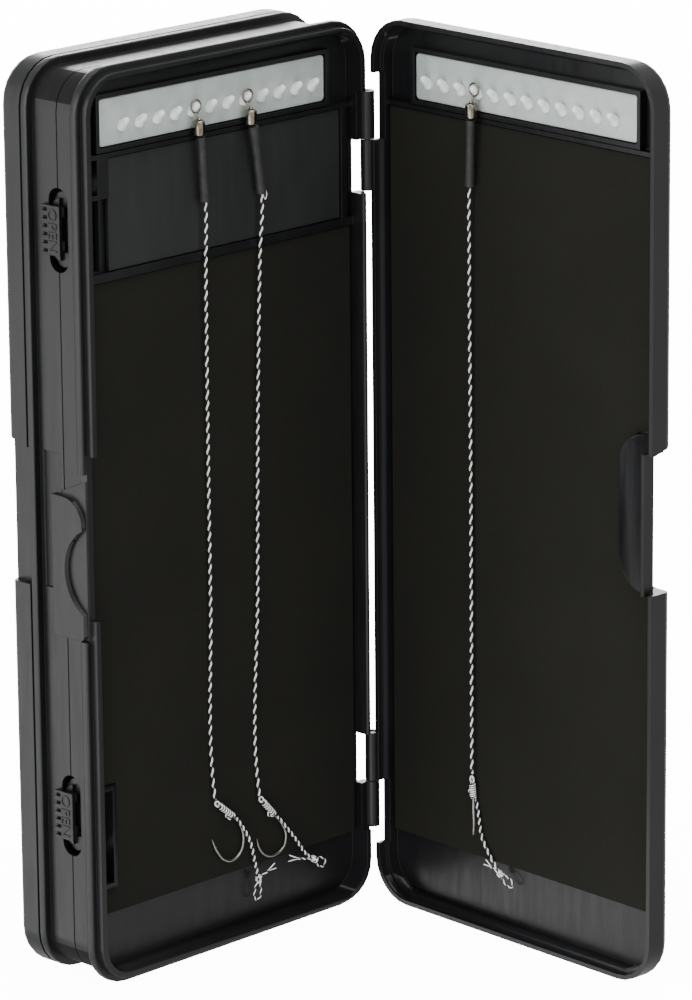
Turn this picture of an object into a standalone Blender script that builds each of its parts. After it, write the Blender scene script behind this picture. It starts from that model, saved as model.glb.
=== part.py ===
"""Double-sided fishing rig box: two shallow trays back to back, a lid on each, and three hung rigs.

The box stands on its short end. X runs from the free side (low) to the hinge side (high), the front
lid faces -Y, the back lid faces +Y and Z is up. The origin is on the floor, under the middle of the
front tray's rim. Lengths are in metres.
"""

import math

import bmesh
import bpy
from mathutils import Matrix, Vector

# Whole box
BOX_HEIGHT = 0.240
BOX_WIDTH = 0.102
CORNER_RADIUS = 0.0115
CLEARANCE = 0.0003
OVERRUN = 0.001
CORNER_SEGMENTS = 6
EDGE_SEGMENTS = 2
ROUND_SEGMENTS = 20
SCOOP_SEGMENTS = 56
BALL_SEGMENTS = 12
BALL_RINGS = 8

# Tray shells
FRONT_TRAY_DEPTH = 0.0092
BACK_TRAY_DEPTH = 0.0112
RIM_BAND_DEPTH = 0.0024
RIM_EDGE_RADIUS = 0.0005
WALL_INSET = 0.0020
WALL_THICKNESS = 0.0012
RIM_LEDGE = 0.0016
TONGUE_HEIGHT = 0.0020
FLOOR_DEPTH = 0.0037
FLOOR_THICKNESS = 0.0014

# Lid shell
LID_DEPTH = 0.0068
LID_EDGE_RADIUS = 0.0016
LID_RIM_WALL = 0.0013
LID_WALL = 0.0024
LID_REBATE_DEPTH = 0.0024
LID_FLOOR_THICKNESS = 0.0011
FRONT_LID_OPEN_DEGREES = 87.3

# Inlays: peg strips with their frames, foam sheets, cover plates
INLAY_THICKNESS = 0.0012
RAIL_DROP = 0.0236
RAIL_WIDTH = 0.0012
RAIL_DEPTH_IN_TRAY = 0.0016
RAIL_DEPTH_IN_LID = 0.0038
STRIP_FREE_MARGIN = 0.0096
STRIP_HINGE_MARGIN = 0.0130
STRIP_HEIGHT = 0.0120
STRIP_THICKNESS = 0.0014
STRIP_CORNER_RADIUS = 0.0008
FRAME_BAR = 0.0011
FRAME_PROUD = 0.0006
PEG_COUNT = 12
FIRST_PEG_OFFSET = 0.0078
LAST_PEG_OFFSET = 0.0045
PEG_RISE = 0.0048
PEG_ROOT_RADIUS = 0.00110
PEG_RADIUS = 0.00075
PEG_REACH = 0.0028
PEG_TILT_DEGREES = 35.0
SHEET_BOTTOM = 0.0188
SHEET_MARGIN = 0.0006
COVER_LEFT = 0.0125
COVER_RIGHT_MARGIN = 0.0075
COVER_HEIGHT = 0.0289
TOP_RIB_WIDTH = 0.0022

# Wells through the tray floor beside the catches
WELL_INSET = 0.0004
UPPER_WELL_WIDTH = 0.0048
MIDDLE_WELL_WIDTH = 0.0068
LOWER_WELL_WIDTH = 0.0058
WELL_RIB = 0.0012
LOWER_WELL_BOTTOM = 0.0270
LOWER_WELL_HEIGHT = 0.0250
UPPER_WELL_HEIGHT = 0.0082

# Hinges of the two lids
HINGE_OFFSET = 0.0009
KNUCKLE_RADIUS = 0.0019
KNUCKLE_WEB = 0.0016
PIN_RADIUS = 0.0007
TRAY_KNUCKLE_LENGTH = 0.0126
LID_KNUCKLE_LENGTH = 0.0134
HINGE_END_MARGIN = 0.0198
HINGE_RELIEF_DEPTH = 0.0030
HINGE_RELIEF_REACH = 0.0042
HINGE_RELIEF_EXTRA = 0.0045

# Hinge between the two trays
MIDDLE_HINGE_OFFSET = 0.0014
MIDDLE_KNUCKLE_RADIUS = 0.0016
MIDDLE_KNUCKLE_WEB = 0.0013
MIDDLE_KNUCKLE_LENGTH = 0.0100
MIDDLE_HINGE_END_MARGIN = 0.0600

# Thumb plateau in the front lid and the notches in both lids' sides, placed from the plateau's lower end
NOTCH_HEIGHT = 0.0416
NOTCH_ABOVE_MIDDLE = 0.0052
SIDE_NOTCH_TOP_MARGIN = 0.0052
SIDE_NOTCH_BOTTOM_MARGIN = 0.0006
SIDE_NOTCH_SLOPE = 0.0024
NOTCH_SETBACK = 0.0027
BACK_NOTCH_SETBACK = 0.0020
NOTCH_WALL = 0.0012
TONGUE_GAP_DROP = 0.0055
PLATEAU_REACH = 0.0135
PLATEAU_DEPTH = 0.0020
PLATEAU_THICKNESS = 0.0014
PLATEAU_CORNER_RADIUS = 0.0090

# Finger tab on the front tray: a base set back from the rim and a plate that overhangs the back tray
TAB_DROP = 0.0106
TAB_RISE_AT_RIM = 0.0310
TAB_RISE_AT_SEAM = 0.0274
TAB_BASE_SETBACK = 0.0009
TAB_STEP = 0.0003
TAB_BAND_GAP = 0.0013
TAB_BAND_GAP_RISE = 0.0330
TAB_PLATE_PROUD = 0.0004
TAB_PLATE_RISE = 0.0263
TAB_PLATE_OVERHANG = 0.0024
TAB_PLATE_MARGIN = 0.0006
TAB_PLATE_TOP_RADIUS = 0.0070
TAB_PLATE_FOOT_RADIUS = 0.0014
SCOOP_RISE = 0.0073
SCOOP_CHORD = 0.0228
SCOOP_DEPTH = 0.0072

# Finger recess on the back tray
GRIP_RECESS_DEPTH = 0.0005
GRIP_RECESS_MARGIN = 0.0012

# Slide catches on the back tray
OVAL_LENGTH = 0.0216
OVAL_WIDTH = 0.0068
LOWER_CATCH_HEIGHT = 0.0451
UPPER_CATCH_DROP = 0.0415
CATCH_TRAVEL = 0.0025
BUTTON_LENGTH = 0.0127
BUTTON_THICKNESS = 0.0009
BUTTON_FRONT_REACH = 0.0016
BUTTON_BACK_REACH = 0.0050
GRIP_COUNT = 6
GRIP_PITCH = 0.0021
GRIP_WIDTH = 0.0009
GRIP_LENGTH = 0.0022
GRIP_DEPTH = 0.0007
STEM_SETBACK = 0.0007
FLANGE_THICKNESS = 0.0009
FLANGE_REACH = 0.0012
TOOTH_REACH = 0.0025
TOOTH_LENGTH = 0.0060

# Hung rigs
EYE_RADIUS = 0.00165
EYE_WIRE_RADIUS = 0.00025
EYE_LIFT = 0.0014
BARREL_RADIUS = 0.00155
BARREL_LENGTH = 0.0042
BARREL_DROP = 0.0023
BARREL_LIFT = 0.00245
BARREL_EDGE_RADIUS = 0.0003
SLEEVE_TOP_RADIUS = 0.00115
SLEEVE_BOTTOM_RADIUS = 0.00130
SLEEVE_BORE_RADIUS = 0.00075
SLEEVE_BORE_DEPTH = 0.0025
BRAID_RADIUS = 0.00038
WHIPPING_RADIUS = 0.0009
HOOK_WIRE_RADIUS = 0.00035
HAIR_RADIUS = 0.00030
KNOT_RADIUS = 0.0010
CORD_STEP = 0.0022
HAIR_STEP = 0.0008
CORD_BEVEL_RESOLUTION = 2
HOOK_LENGTH = 0.0140
LOOP_HALF_WIDTH = 0.0014
LOOP_FOOT_SHARE = 0.25
LOOP_SHOULDER_SHARE = 0.8
EYE_STEPS = 24

# Rig routes: (across from the peg, drop below the peg, lift above the strip), chosen from the photograph
RIG_1_SLEEVE = [(0.0006, 0.0068, 0.00245), (0.0025, 0.0237, 0.0016)]
RIG_1_LINK = [(0.0026, 0.0240, 0.0016), (0.0027, 0.0400, 0.0013), (0.0029, 0.0767, 0.0009),
              (0.0031, 0.1301, 0.0007), (0.0032, 0.1800, 0.0007)]
RIG_1_WHIPPING = [(0.0035, 0.1842, 0.00095), (0.0100, 0.1896, 0.00095)]
RIG_1_HAIR = [(0.0152, 0.1974, 0.0016), (0.0174, 0.2041, 0.0012)]
RIG_1_KNOT = (0.0192, 0.2092, 0.0006)
RIG_1_LOOP_END = (0.0190, 0.2152, 0.0002)
RIG_1_TAG_END = (0.0252, 0.2070, 0.0008)

RIG_2_SLEEVE = [(0.0008, 0.0068, 0.00245), (0.0042, 0.0248, 0.0016)]
RIG_2_LINK = [(0.0043, 0.0251, 0.0016), (0.0038, 0.0400, 0.0013), (0.0027, 0.0800, 0.0009),
              (0.0019, 0.1300, 0.0007), (0.0011, 0.1830, 0.0007)]
RIG_2_WHIPPING = [(0.0014, 0.1868, 0.00095), (0.0067, 0.1928, 0.00095)]
RIG_2_HAIR = [(0.0141, 0.2015, 0.0016), (0.0182, 0.2066, 0.0012)]
RIG_2_KNOT = (0.0216, 0.2090, 0.0006)
RIG_2_LOOP_END = (0.0262, 0.2116, 0.0002)
RIG_2_TAG_END = (0.0120, 0.2064, 0.0008)

RIG_3_SLEEVE = [(-0.0002, 0.0068, 0.00245), (-0.0015, 0.0242, 0.0016)]
RIG_3_LINK = [(-0.0016, 0.0245, 0.0016), (-0.0020, 0.0450, 0.0013), (-0.0020, 0.1000, 0.0010),
              (-0.0018, 0.1500, 0.0011), (-0.0016, 0.1790, 0.0013)]
RIG_3_WHIPPING = [(-0.0016, 0.1831, 0.0013), (-0.0010, 0.1892, 0.0013)]
RIG_3_HAIR = [(0.0002, 0.1935, 0.0006), (0.0014, 0.1990, 0.0007), (0.0048, 0.2041, 0.0007)]
RIG_3_KNOT = (0.0083, 0.2080, 0.0006)
RIG_3_LOOP_END = (0.0125, 0.2105, 0.0002)
RIG_3_TAG_END = (0.0036, 0.2056, 0.0016)

# Hooks: (across, drop, lift) from the whipping's end, in shares of the hook's length
RIG_1_HOOK_SHARES = [(0.20, 0.22, -0.03), (0.28, 0.47, -0.03), (0.24, 0.69, -0.03), (0.11, 0.83, -0.03),
                     (-0.06, 0.87, -0.03), (-0.25, 0.79, -0.03), (-0.41, 0.60, -0.03), (-0.54, 0.33, -0.03)]
RIG_2_HOOK_SHARES = [(0.23, 0.25, -0.03), (0.33, 0.49, -0.03), (0.28, 0.69, -0.03), (0.11, 0.80, -0.03),
                     (-0.09, 0.81, -0.03), (-0.28, 0.71, -0.03), (-0.39, 0.56, -0.03), (-0.44, 0.37, -0.03)]
RIG_3_HOOK_SHARES = [(0.03, 0.20, 0.03), (0.04, 0.42, 0.03), (0.07, 0.54, 0.06), (0.12, 0.61, 0.11),
                     (0.18, 0.62, 0.17), (0.23, 0.56, 0.22), (0.26, 0.46, 0.25), (0.27, 0.34, 0.26)]
RIG_1_PEG = 4
RIG_2_PEG = 7
RIG_3_PEG = 8

HALF_WIDTH = BOX_WIDTH / 2
RAIL_BOTTOM = BOX_HEIGHT - RAIL_DROP
COVER_BOTTOM = RAIL_BOTTOM - COVER_HEIGHT
UPPER_CATCH_HEIGHT = BOX_HEIGHT - UPPER_CATCH_DROP
NOTCH_BOTTOM = (BOX_HEIGHT - NOTCH_HEIGHT) / 2 + NOTCH_ABOVE_MIDDLE
SIDE_NOTCH = (NOTCH_BOTTOM + SIDE_NOTCH_BOTTOM_MARGIN, NOTCH_BOTTOM + NOTCH_HEIGHT - SIDE_NOTCH_TOP_MARGIN)
TAB_BOTTOM = NOTCH_BOTTOM - TAB_DROP
STRIP_LENGTH = BOX_WIDTH - STRIP_FREE_MARGIN - STRIP_HINGE_MARGIN
PEG_PITCH = (STRIP_LENGTH - FIRST_PEG_OFFSET - LAST_PEG_OFFSET) / (PEG_COUNT - 1)
INNER_INSET = WALL_INSET + WALL_THICKNESS
SEAM_Y = FRONT_TRAY_DEPTH - RIM_BAND_DEPTH / 2
HINGE_X = HALF_WIDTH + HINGE_OFFSET
MIDDLE_HINGE_X = HALF_WIDTH - WALL_INSET + MIDDLE_HINGE_OFFSET
STRIP_BOTTOM = RAIL_BOTTOM + RAIL_WIDTH + CLEARANCE + FRAME_BAR + CLEARANCE
PEG_HEIGHT_ABOVE_FLOOR = STRIP_BOTTOM + PEG_RISE
TRAY_STRIP_DEPTH = FLOOR_DEPTH - CLEARANCE - STRIP_THICKNESS
LID_FLOOR_DEPTH = LID_DEPTH - LID_FLOOR_THICKNESS
LID_STRIP_DEPTH = LID_FLOOR_DEPTH - CLEARANCE - STRIP_THICKNESS
FRONT = -1
BACK = 1


def remove_everything():
    """Start from an empty scene."""
    for thing in list(bpy.data.objects):
        bpy.data.objects.remove(thing, do_unlink=True)


def new_collection(name):
    collection = bpy.data.collections.new(name)
    bpy.context.scene.collection.children.link(collection)
    return collection


def make_material(name, colour, roughness, metallic=0.0):
    material = bpy.data.materials.new(name)
    material.use_nodes = True
    shader = material.node_tree.nodes["Principled BSDF"]
    shader.inputs["Base Color"].default_value = (*colour, 1.0)
    shader.inputs["Roughness"].default_value = roughness
    shader.inputs["Metallic"].default_value = metallic
    material.diffuse_color = (*colour, 1.0)
    return material


class Joint:
    """An empty on a joint's axis, which carries the pieces that move with it."""

    def __init__(self, name, position, parent=None):
        self.position = Vector(position)
        self.empty = bpy.data.objects.new(name, None)
        PARTS.objects.link(self.empty)
        if parent is None:
            self.empty.location = self.position
        else:
            self.empty.parent = parent.empty
            self.empty.location = self.position - parent.position


def carry(thing, joint):
    """Hang an object, modelled in the closed box's coordinates, on a joint."""
    if joint is not None:
        thing.parent = joint.empty
        thing.location = -joint.position


def object_from_bmesh(name, mesh_data, joint, cutter=False):
    """Turn a bmesh into an object in the parts or the cutters collection."""
    mesh = bpy.data.meshes.new(name)
    if mesh_data.calc_volume(signed=True) < 0:
        bmesh.ops.reverse_faces(mesh_data, faces=mesh_data.faces)
    mesh_data.to_mesh(mesh)
    mesh_data.free()
    thing = bpy.data.objects.new(name, mesh)
    if cutter:
        CUTTERS.objects.link(thing)
        thing.hide_render = True
        thing.display_type = "WIRE"
    else:
        PARTS.objects.link(thing)
    carry(thing, joint)
    return thing


def block_bmesh(x_range, y_range, z_range, corner_radius=0.0, corners="all", faces=(), face_radius=0.0):
    """A box whose four edges along Y are rounded, and then the rims of the named Y faces."""
    low = Vector((min(x_range), min(y_range), min(z_range)))
    high = Vector((max(x_range), max(y_range), max(z_range)))
    mesh_data = bmesh.new()
    bmesh.ops.create_cube(mesh_data, size=1.0)
    for vertex in mesh_data.verts:
        for axis in range(3):
            vertex.co[axis] = low[axis] if vertex.co[axis] < 0 else high[axis]
    if corner_radius > 0:
        middle = (low.x + high.x) / 2
        upright = []
        for edge in mesh_data.edges:
            start, end = edge.verts
            along_y = abs(start.co.y - end.co.y) > abs(start.co.x - end.co.x) + abs(start.co.z - end.co.z)
            wanted = corners == "all" or (start.co.x > middle) == (corners == "high")
            if along_y and wanted:
                upright.append(edge)
        bmesh.ops.bevel(mesh_data, geom=upright, offset=corner_radius, offset_type="OFFSET",
                        segments=CORNER_SEGMENTS, profile=0.5, affect="EDGES", clamp_overlap=True)
    for face_y in faces:
        rim = []
        for edge in mesh_data.edges:
            if all(abs(vertex.co.y - face_y) < CLEARANCE / 100 for vertex in edge.verts):
                rim.append(edge)
        bmesh.ops.bevel(mesh_data, geom=rim, offset=face_radius, offset_type="OFFSET",
                        segments=EDGE_SEGMENTS, profile=0.5, affect="EDGES", clamp_overlap=True)
    return mesh_data


def block(name, x_range, y_range, z_range, joint, cutter=False, **shape):
    return object_from_bmesh(name, block_bmesh(x_range, y_range, z_range, **shape), joint, cutter)


def cylinder(name, start, end, radius, joint, cutter=False, end_radius=None, edge_radius=0.0,
             segments=ROUND_SEGMENTS):
    """A capped cylinder or cone from one point to another."""
    start = Vector(start)
    end = Vector(end)
    mesh_data = bmesh.new()
    bmesh.ops.create_cone(mesh_data, cap_ends=True, cap_tris=False, segments=segments, radius1=radius,
                          radius2=radius if end_radius is None else end_radius, depth=(end - start).length)
    if edge_radius > 0:
        caps = [edge for edge in mesh_data.edges
                if abs(edge.verts[0].co.z - edge.verts[1].co.z) < edge_radius]
        bmesh.ops.bevel(mesh_data, geom=caps, offset=edge_radius, offset_type="OFFSET",
                        segments=EDGE_SEGMENTS, profile=0.5, affect="EDGES", clamp_overlap=True)
    turn = Vector((0, 0, 1)).rotation_difference(end - start).to_matrix().to_4x4()
    mesh_data.transform(Matrix.Translation((start + end) / 2) @ turn)
    return object_from_bmesh(name, mesh_data, joint, cutter)


def ball(name, centre, radius, joint, cutter=False):
    mesh_data = bmesh.new()
    bmesh.ops.create_uvsphere(mesh_data, u_segments=BALL_SEGMENTS, v_segments=BALL_RINGS,
                              radius=radius)
    mesh_data.transform(Matrix.Translation(Vector(centre)))
    return object_from_bmesh(name, mesh_data, joint, cutter)


def smooth_points(route, step):
    """Points about one step apart on a smooth curve through the route."""
    points = [Vector(point) for point in route]
    lengths = [(end - start).length for start, end in zip(points, points[1:])]
    directions = [(end - start) / length for start, end, length in zip(points, points[1:], lengths)]
    slopes = [directions[0]]
    for index in range(1, len(directions)):
        before = lengths[index - 1]
        after = lengths[index]
        slopes.append((directions[index - 1] * after + directions[index] * before) / (before + after))
    slopes.append(directions[-1])
    curve_points = []
    for index, length in enumerate(lengths):
        count = max(1, round(length / step))
        for number in range(count):
            share = number / count
            square = share * share
            cube = square * share
            curve_points.append((2 * cube - 3 * square + 1) * points[index]
                                + (cube - 2 * square + share) * length * slopes[index]
                                + (3 * square - 2 * cube) * points[index + 1]
                                + (cube - square) * length * slopes[index + 1])
    curve_points.append(points[-1])
    return curve_points


def tube(name, points, radius, joint, cutter=False, closed=False):
    """A round wire along the points, as a capped curve turned into a mesh."""
    curve = bpy.data.curves.new(name, "CURVE")
    curve.dimensions = "3D"
    curve.bevel_depth = radius
    curve.bevel_resolution = CORD_BEVEL_RESOLUTION
    curve.use_fill_caps = not closed
    spline = curve.splines.new("POLY")
    spline.points.add(len(points) - 1)
    spline.use_cyclic_u = closed
    for point, place in zip(spline.points, points):
        point.co = (*place, 1.0)
    wire = bpy.data.objects.new(name + "_wire", curve)
    bpy.context.scene.collection.objects.link(wire)
    depsgraph = bpy.context.evaluated_depsgraph_get()
    mesh = bpy.data.meshes.new_from_object(wire.evaluated_get(depsgraph))
    bpy.data.objects.remove(wire, do_unlink=True)
    mesh_data = bmesh.new()
    mesh_data.from_mesh(mesh)
    bmesh.ops.remove_doubles(mesh_data, verts=mesh_data.verts, dist=radius / 100)
    bpy.data.meshes.remove(mesh)
    return object_from_bmesh(name, mesh_data, joint, cutter)


def outline_prism(name, outline, x_range, joint, cutter=False):
    """A flat outline of (y, z) points, thickened along X."""
    curve = bpy.data.curves.new(name, "CURVE")
    curve.dimensions = "2D"
    curve.fill_mode = "BOTH"
    curve.extrude = abs(x_range[1] - x_range[0]) / 2
    spline = curve.splines.new("POLY")
    spline.points.add(len(outline) - 1)
    spline.use_cyclic_u = True
    for point, place in zip(spline.points, outline):
        point.co = (place[0], place[1], 0.0, 1.0)
    flat = bpy.data.objects.new(name + "_outline", curve)
    bpy.context.scene.collection.objects.link(flat)
    depsgraph = bpy.context.evaluated_depsgraph_get()
    mesh = bpy.data.meshes.new_from_object(flat.evaluated_get(depsgraph))
    bpy.data.objects.remove(flat, do_unlink=True)
    mesh_data = bmesh.new()
    mesh_data.from_mesh(mesh)
    bpy.data.meshes.remove(mesh)
    bmesh.ops.remove_doubles(mesh_data, verts=mesh_data.verts, dist=CLEARANCE / 100)
    stand_up = Matrix(((0, 0, 1, (x_range[0] + x_range[1]) / 2), (1, 0, 0, 0), (0, 1, 0, 0), (0, 0, 0, 1)))
    mesh_data.transform(stand_up)
    return object_from_bmesh(name, mesh_data, joint, cutter)


def apply_boolean(target, tool, operation):
    modifier = target.modifiers.new(operation.lower() + "_" + tool.name, "BOOLEAN")
    modifier.operation = operation
    modifier.object = tool
    modifier.solver = "EXACT"


def cut(target, *tools):
    for tool in tools:
        apply_boolean(target, tool, "DIFFERENCE")


def join(target, *tools):
    for tool in tools:
        apply_boolean(target, tool, "UNION")


def finish(thing, material, sharp_degrees=35.0):
    """Give a finished piece its material and shade its round faces smooth."""
    thing.data.materials.clear()
    thing.data.materials.append(material)
    thing.data.shade_smooth()
    thing.data.set_sharp_from_angle(angle=math.radians(sharp_degrees))
    return thing


def tray_depth(side):
    return FRONT_TRAY_DEPTH if side == FRONT else BACK_TRAY_DEPTH


def tray_y(side, depth):
    """Where a depth behind a tray's rim plane lies along Y."""
    return SEAM_Y + side * (tray_depth(side) - depth)


def before_seam(side, distance):
    """Where a distance short of the seam between the trays lies along Y."""
    return SEAM_Y + side * distance


def lid_y(side, depth):
    """Where a depth behind a lid's rim plane lies along Y while that lid is closed."""
    return tray_y(side, 0) + side * (CLEARANCE + depth)


def from_free(distance):
    """X at a distance from the free side."""
    return -HALF_WIDTH + distance


def spans(inset):
    """X and Z ranges of the box's outline, drawn in by an inset."""
    return (from_free(inset), HALF_WIDTH - inset), (inset, BOX_HEIGHT - inset)


def lid_hinge_groups():
    """Knuckle spans along Z at each end: (end, tray knuckle, lid knuckle)."""
    groups = []
    for end in ("lower", "upper"):
        tray_span = (HINGE_END_MARGIN, HINGE_END_MARGIN + TRAY_KNUCKLE_LENGTH)
        lid_start = tray_span[1] + CLEARANCE
        lid_span = (lid_start, lid_start + LID_KNUCKLE_LENGTH)
        if end == "upper":
            tray_span = tuple(BOX_HEIGHT - value for value in reversed(tray_span))
            lid_span = tuple(BOX_HEIGHT - value for value in reversed(lid_span))
        groups.append((end, tray_span, lid_span))
    return groups


def middle_hinge_groups():
    """Knuckle spans along Z: (end, the front tray's two knuckles, the back tray's one)."""
    groups = []
    step = MIDDLE_KNUCKLE_LENGTH + CLEARANCE
    total = 2 * step + MIDDLE_KNUCKLE_LENGTH
    upper_start = BOX_HEIGHT - MIDDLE_HINGE_END_MARGIN - total
    for end, start in (("lower", MIDDLE_HINGE_END_MARGIN), ("upper", upper_start)):
        spans_along = [(start + number * step, start + number * step + MIDDLE_KNUCKLE_LENGTH)
                       for number in range(3)]
        groups.append((end, (spans_along[0], spans_along[2]), (spans_along[1],)))
    return groups


def knuckle(name, x, y, span, radius, joint):
    return cylinder(name, (x, y, span[0]), (x, y, span[1]), radius, joint, cutter=True)


def stadium(name, x_range, centre_y, centre_z, length, width, joint, cutter=True):
    """An upright slot shape with round ends, thick along X."""
    outline = []
    radius = width / 2
    straight = length / 2 - radius
    for number in range(ROUND_SEGMENTS + 1):
        angle = math.pi * number / ROUND_SEGMENTS
        outline.append((centre_y + radius * math.cos(angle), centre_z + straight + radius * math.sin(angle)))
    for number in range(ROUND_SEGMENTS + 1):
        angle = math.pi + math.pi * number / ROUND_SEGMENTS
        outline.append((centre_y + radius * math.cos(angle), centre_z - straight + radius * math.sin(angle)))
    return outline_prism(name, outline, x_range, joint, cutter)


def build_tray(side, prefix, joint):
    """One tray: proud rim band, tongue, inset wall, floor with ribs and wells, knuckles."""
    def y(depth):
        return tray_y(side, depth)

    own = prefix + "_tray"
    x_wall, z_wall = spans(WALL_INSET)
    x_rim, z_rim = spans(0)
    x_tongue, z_tongue = spans(RIM_LEDGE)
    x_inner, z_inner = spans(INNER_INSET)
    tray = block(own, x_wall, (y(RIM_BAND_DEPTH / 2), before_seam(side, CLEARANCE / 2)), z_wall,
                 joint, corner_radius=CORNER_RADIUS - WALL_INSET)
    join(tray, block(own + "_band", x_rim, (y(0), y(RIM_BAND_DEPTH)), z_rim, joint, cutter=True,
                     corner_radius=CORNER_RADIUS, faces=(y(0), y(RIM_BAND_DEPTH)),
                     face_radius=RIM_EDGE_RADIUS))
    tongue = block(own + "_tongue", x_tongue, (y(-TONGUE_HEIGHT), y(RIM_BAND_DEPTH / 2)), z_tongue, joint,
                   cutter=True, corner_radius=CORNER_RADIUS - RIM_LEDGE, faces=(y(-TONGUE_HEIGHT),),
                   face_radius=RIM_EDGE_RADIUS / 2)
    interrupt_tongue(tongue, own, side, joint)
    join(tray, tongue)
    add_lid_hinge_to_tray(tray, own, side, joint)
    if side == FRONT:
        add_finger_tab(tray, own, joint)
    add_middle_knuckles(tray, own, side, joint)
    inner_corner = CORNER_RADIUS - INNER_INSET
    cut(tray, block(own + "_hollow", x_inner, (y(-TONGUE_HEIGHT - OVERRUN), y(FLOOR_DEPTH)), z_inner, joint,
                    cutter=True, corner_radius=inner_corner))
    cut(tray, block(own + "_back_hollow", x_inner,
                    (y(FLOOR_DEPTH + FLOOR_THICKNESS), before_seam(side, -OVERRUN)), z_inner, joint,
                    cutter=True, corner_radius=inner_corner))
    add_ribs(tray, own, side, joint)
    cut_wells(tray, own, side, joint)
    if side == BACK:
        cut_grip_recess(tray, own, joint)
    for number, height in enumerate((LOWER_CATCH_HEIGHT, UPPER_CATCH_HEIGHT)):
        cut(tray, stadium(f"{own}_oval_{number}", (from_free(-OVERRUN), from_free(INNER_INSET + OVERRUN)),
                          SEAM_Y, height, OVAL_LENGTH, OVAL_WIDTH, joint))
    return finish(tray, BLACK_PLASTIC)


def arc(centre, radius, start_degrees, end_degrees):
    """Points of an arc in (y, z), from one angle to another."""
    points = []
    for number in range(ROUND_SEGMENTS // 2 + 1):
        share = number / (ROUND_SEGMENTS // 2)
        angle = math.radians(start_degrees + (end_degrees - start_degrees) * share)
        points.append((centre[0] + radius * math.cos(angle), centre[1] + radius * math.sin(angle)))
    return points


def add_finger_tab(tray, own, joint):
    """The front tray's tab: its base between rim and seam, and the scooped plate over the seam."""
    cut(tray, block(own + "_band_gap", (from_free(-OVERRUN), from_free(TAB_BAND_GAP)),
                    (tray_y(FRONT, -OVERRUN), tray_y(FRONT, RIM_BAND_DEPTH + OVERRUN)),
                    (TAB_BOTTOM - TAB_STEP, NOTCH_BOTTOM + TAB_BAND_GAP_RISE), joint, cutter=True))
    y_rim = tray_y(FRONT, TAB_STEP)
    y_seam = before_seam(FRONT, CLEARANCE)
    base = [
        (y_rim, TAB_BOTTOM + TAB_STEP),
        (y_seam, TAB_BOTTOM + TAB_STEP),
        (y_seam, NOTCH_BOTTOM + TAB_RISE_AT_SEAM),
        (y_rim, NOTCH_BOTTOM + TAB_RISE_AT_RIM),
    ]
    base_x = (from_free(TAB_BASE_SETBACK), from_free(WALL_INSET + WALL_THICKNESS / 2))
    join(tray, outline_prism(own + "_tab", base, base_x, joint, cutter=True))
    y_over = SEAM_Y + TAB_PLATE_OVERHANG
    y_edge = tray_y(FRONT, TAB_PLATE_MARGIN)
    top = NOTCH_BOTTOM + TAB_PLATE_RISE
    outline = [(y_over, TAB_BOTTOM), (y_over, top)]
    outline += arc((y_edge + TAB_PLATE_TOP_RADIUS, top - TAB_PLATE_TOP_RADIUS), TAB_PLATE_TOP_RADIUS, 90, 180)
    outline += arc((y_edge + TAB_PLATE_FOOT_RADIUS, TAB_BOTTOM + TAB_PLATE_FOOT_RADIUS),
                   TAB_PLATE_FOOT_RADIUS, 180, 270)
    plate = outline_prism(own + "_tab_plate", outline,
                          (from_free(-TAB_PLATE_PROUD), from_free(WALL_INSET - CLEARANCE)), joint,
                          cutter=True)
    radius = (SCOOP_CHORD ** 2 / 4 + SCOOP_DEPTH ** 2) / (2 * SCOOP_DEPTH)
    centre_y = tray_y(FRONT, SCOOP_DEPTH - radius)
    centre_z = NOTCH_BOTTOM + SCOOP_RISE
    cut(plate, cylinder(own + "_scoop", (from_free(-TAB_PLATE_PROUD - OVERRUN), centre_y, centre_z),
                        (from_free(WALL_INSET + OVERRUN), centre_y, centre_z), radius, joint, cutter=True,
                        segments=SCOOP_SEGMENTS))
    join(tray, plate)


def add_middle_knuckles(tray, own, side, joint):
    """Knuckles of the hinge between the trays, and the reliefs for the other tray's knuckles."""
    reach = MIDDLE_KNUCKLE_RADIUS + CLEARANCE
    y_wall = (before_seam(side, MIDDLE_KNUCKLE_WEB), before_seam(side, CLEARANCE))
    for end, front_spans, back_spans in middle_hinge_groups():
        mine, others = (front_spans, back_spans) if side == FRONT else (back_spans, front_spans)
        for number, span in enumerate(others):
            relief = (span[0] - CLEARANCE, span[1] + CLEARANCE)
            cut(tray, block(f"{own}_{end}_mid_relief_{number}", (MIDDLE_HINGE_X - reach, HALF_WIDTH),
                            (before_seam(side, reach), before_seam(side, -OVERRUN)), relief, joint,
                            cutter=True))
        for number, span in enumerate(mine):
            name = f"{own}_{end}_mid_{number}"
            join(tray, block(name + "_web", (HALF_WIDTH - WALL_INSET - WALL_THICKNESS / 2, MIDDLE_HINGE_X),
                             y_wall, span, joint, cutter=True))
            join(tray, knuckle(name, MIDDLE_HINGE_X, SEAM_Y, span, MIDDLE_KNUCKLE_RADIUS, joint))
        whole = (front_spans[0][0] - OVERRUN, front_spans[1][1] + OVERRUN)
        cut(tray, knuckle(f"{own}_{end}_mid_bore", MIDDLE_HINGE_X, SEAM_Y, whole, PIN_RADIUS + CLEARANCE,
                          joint))


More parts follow.
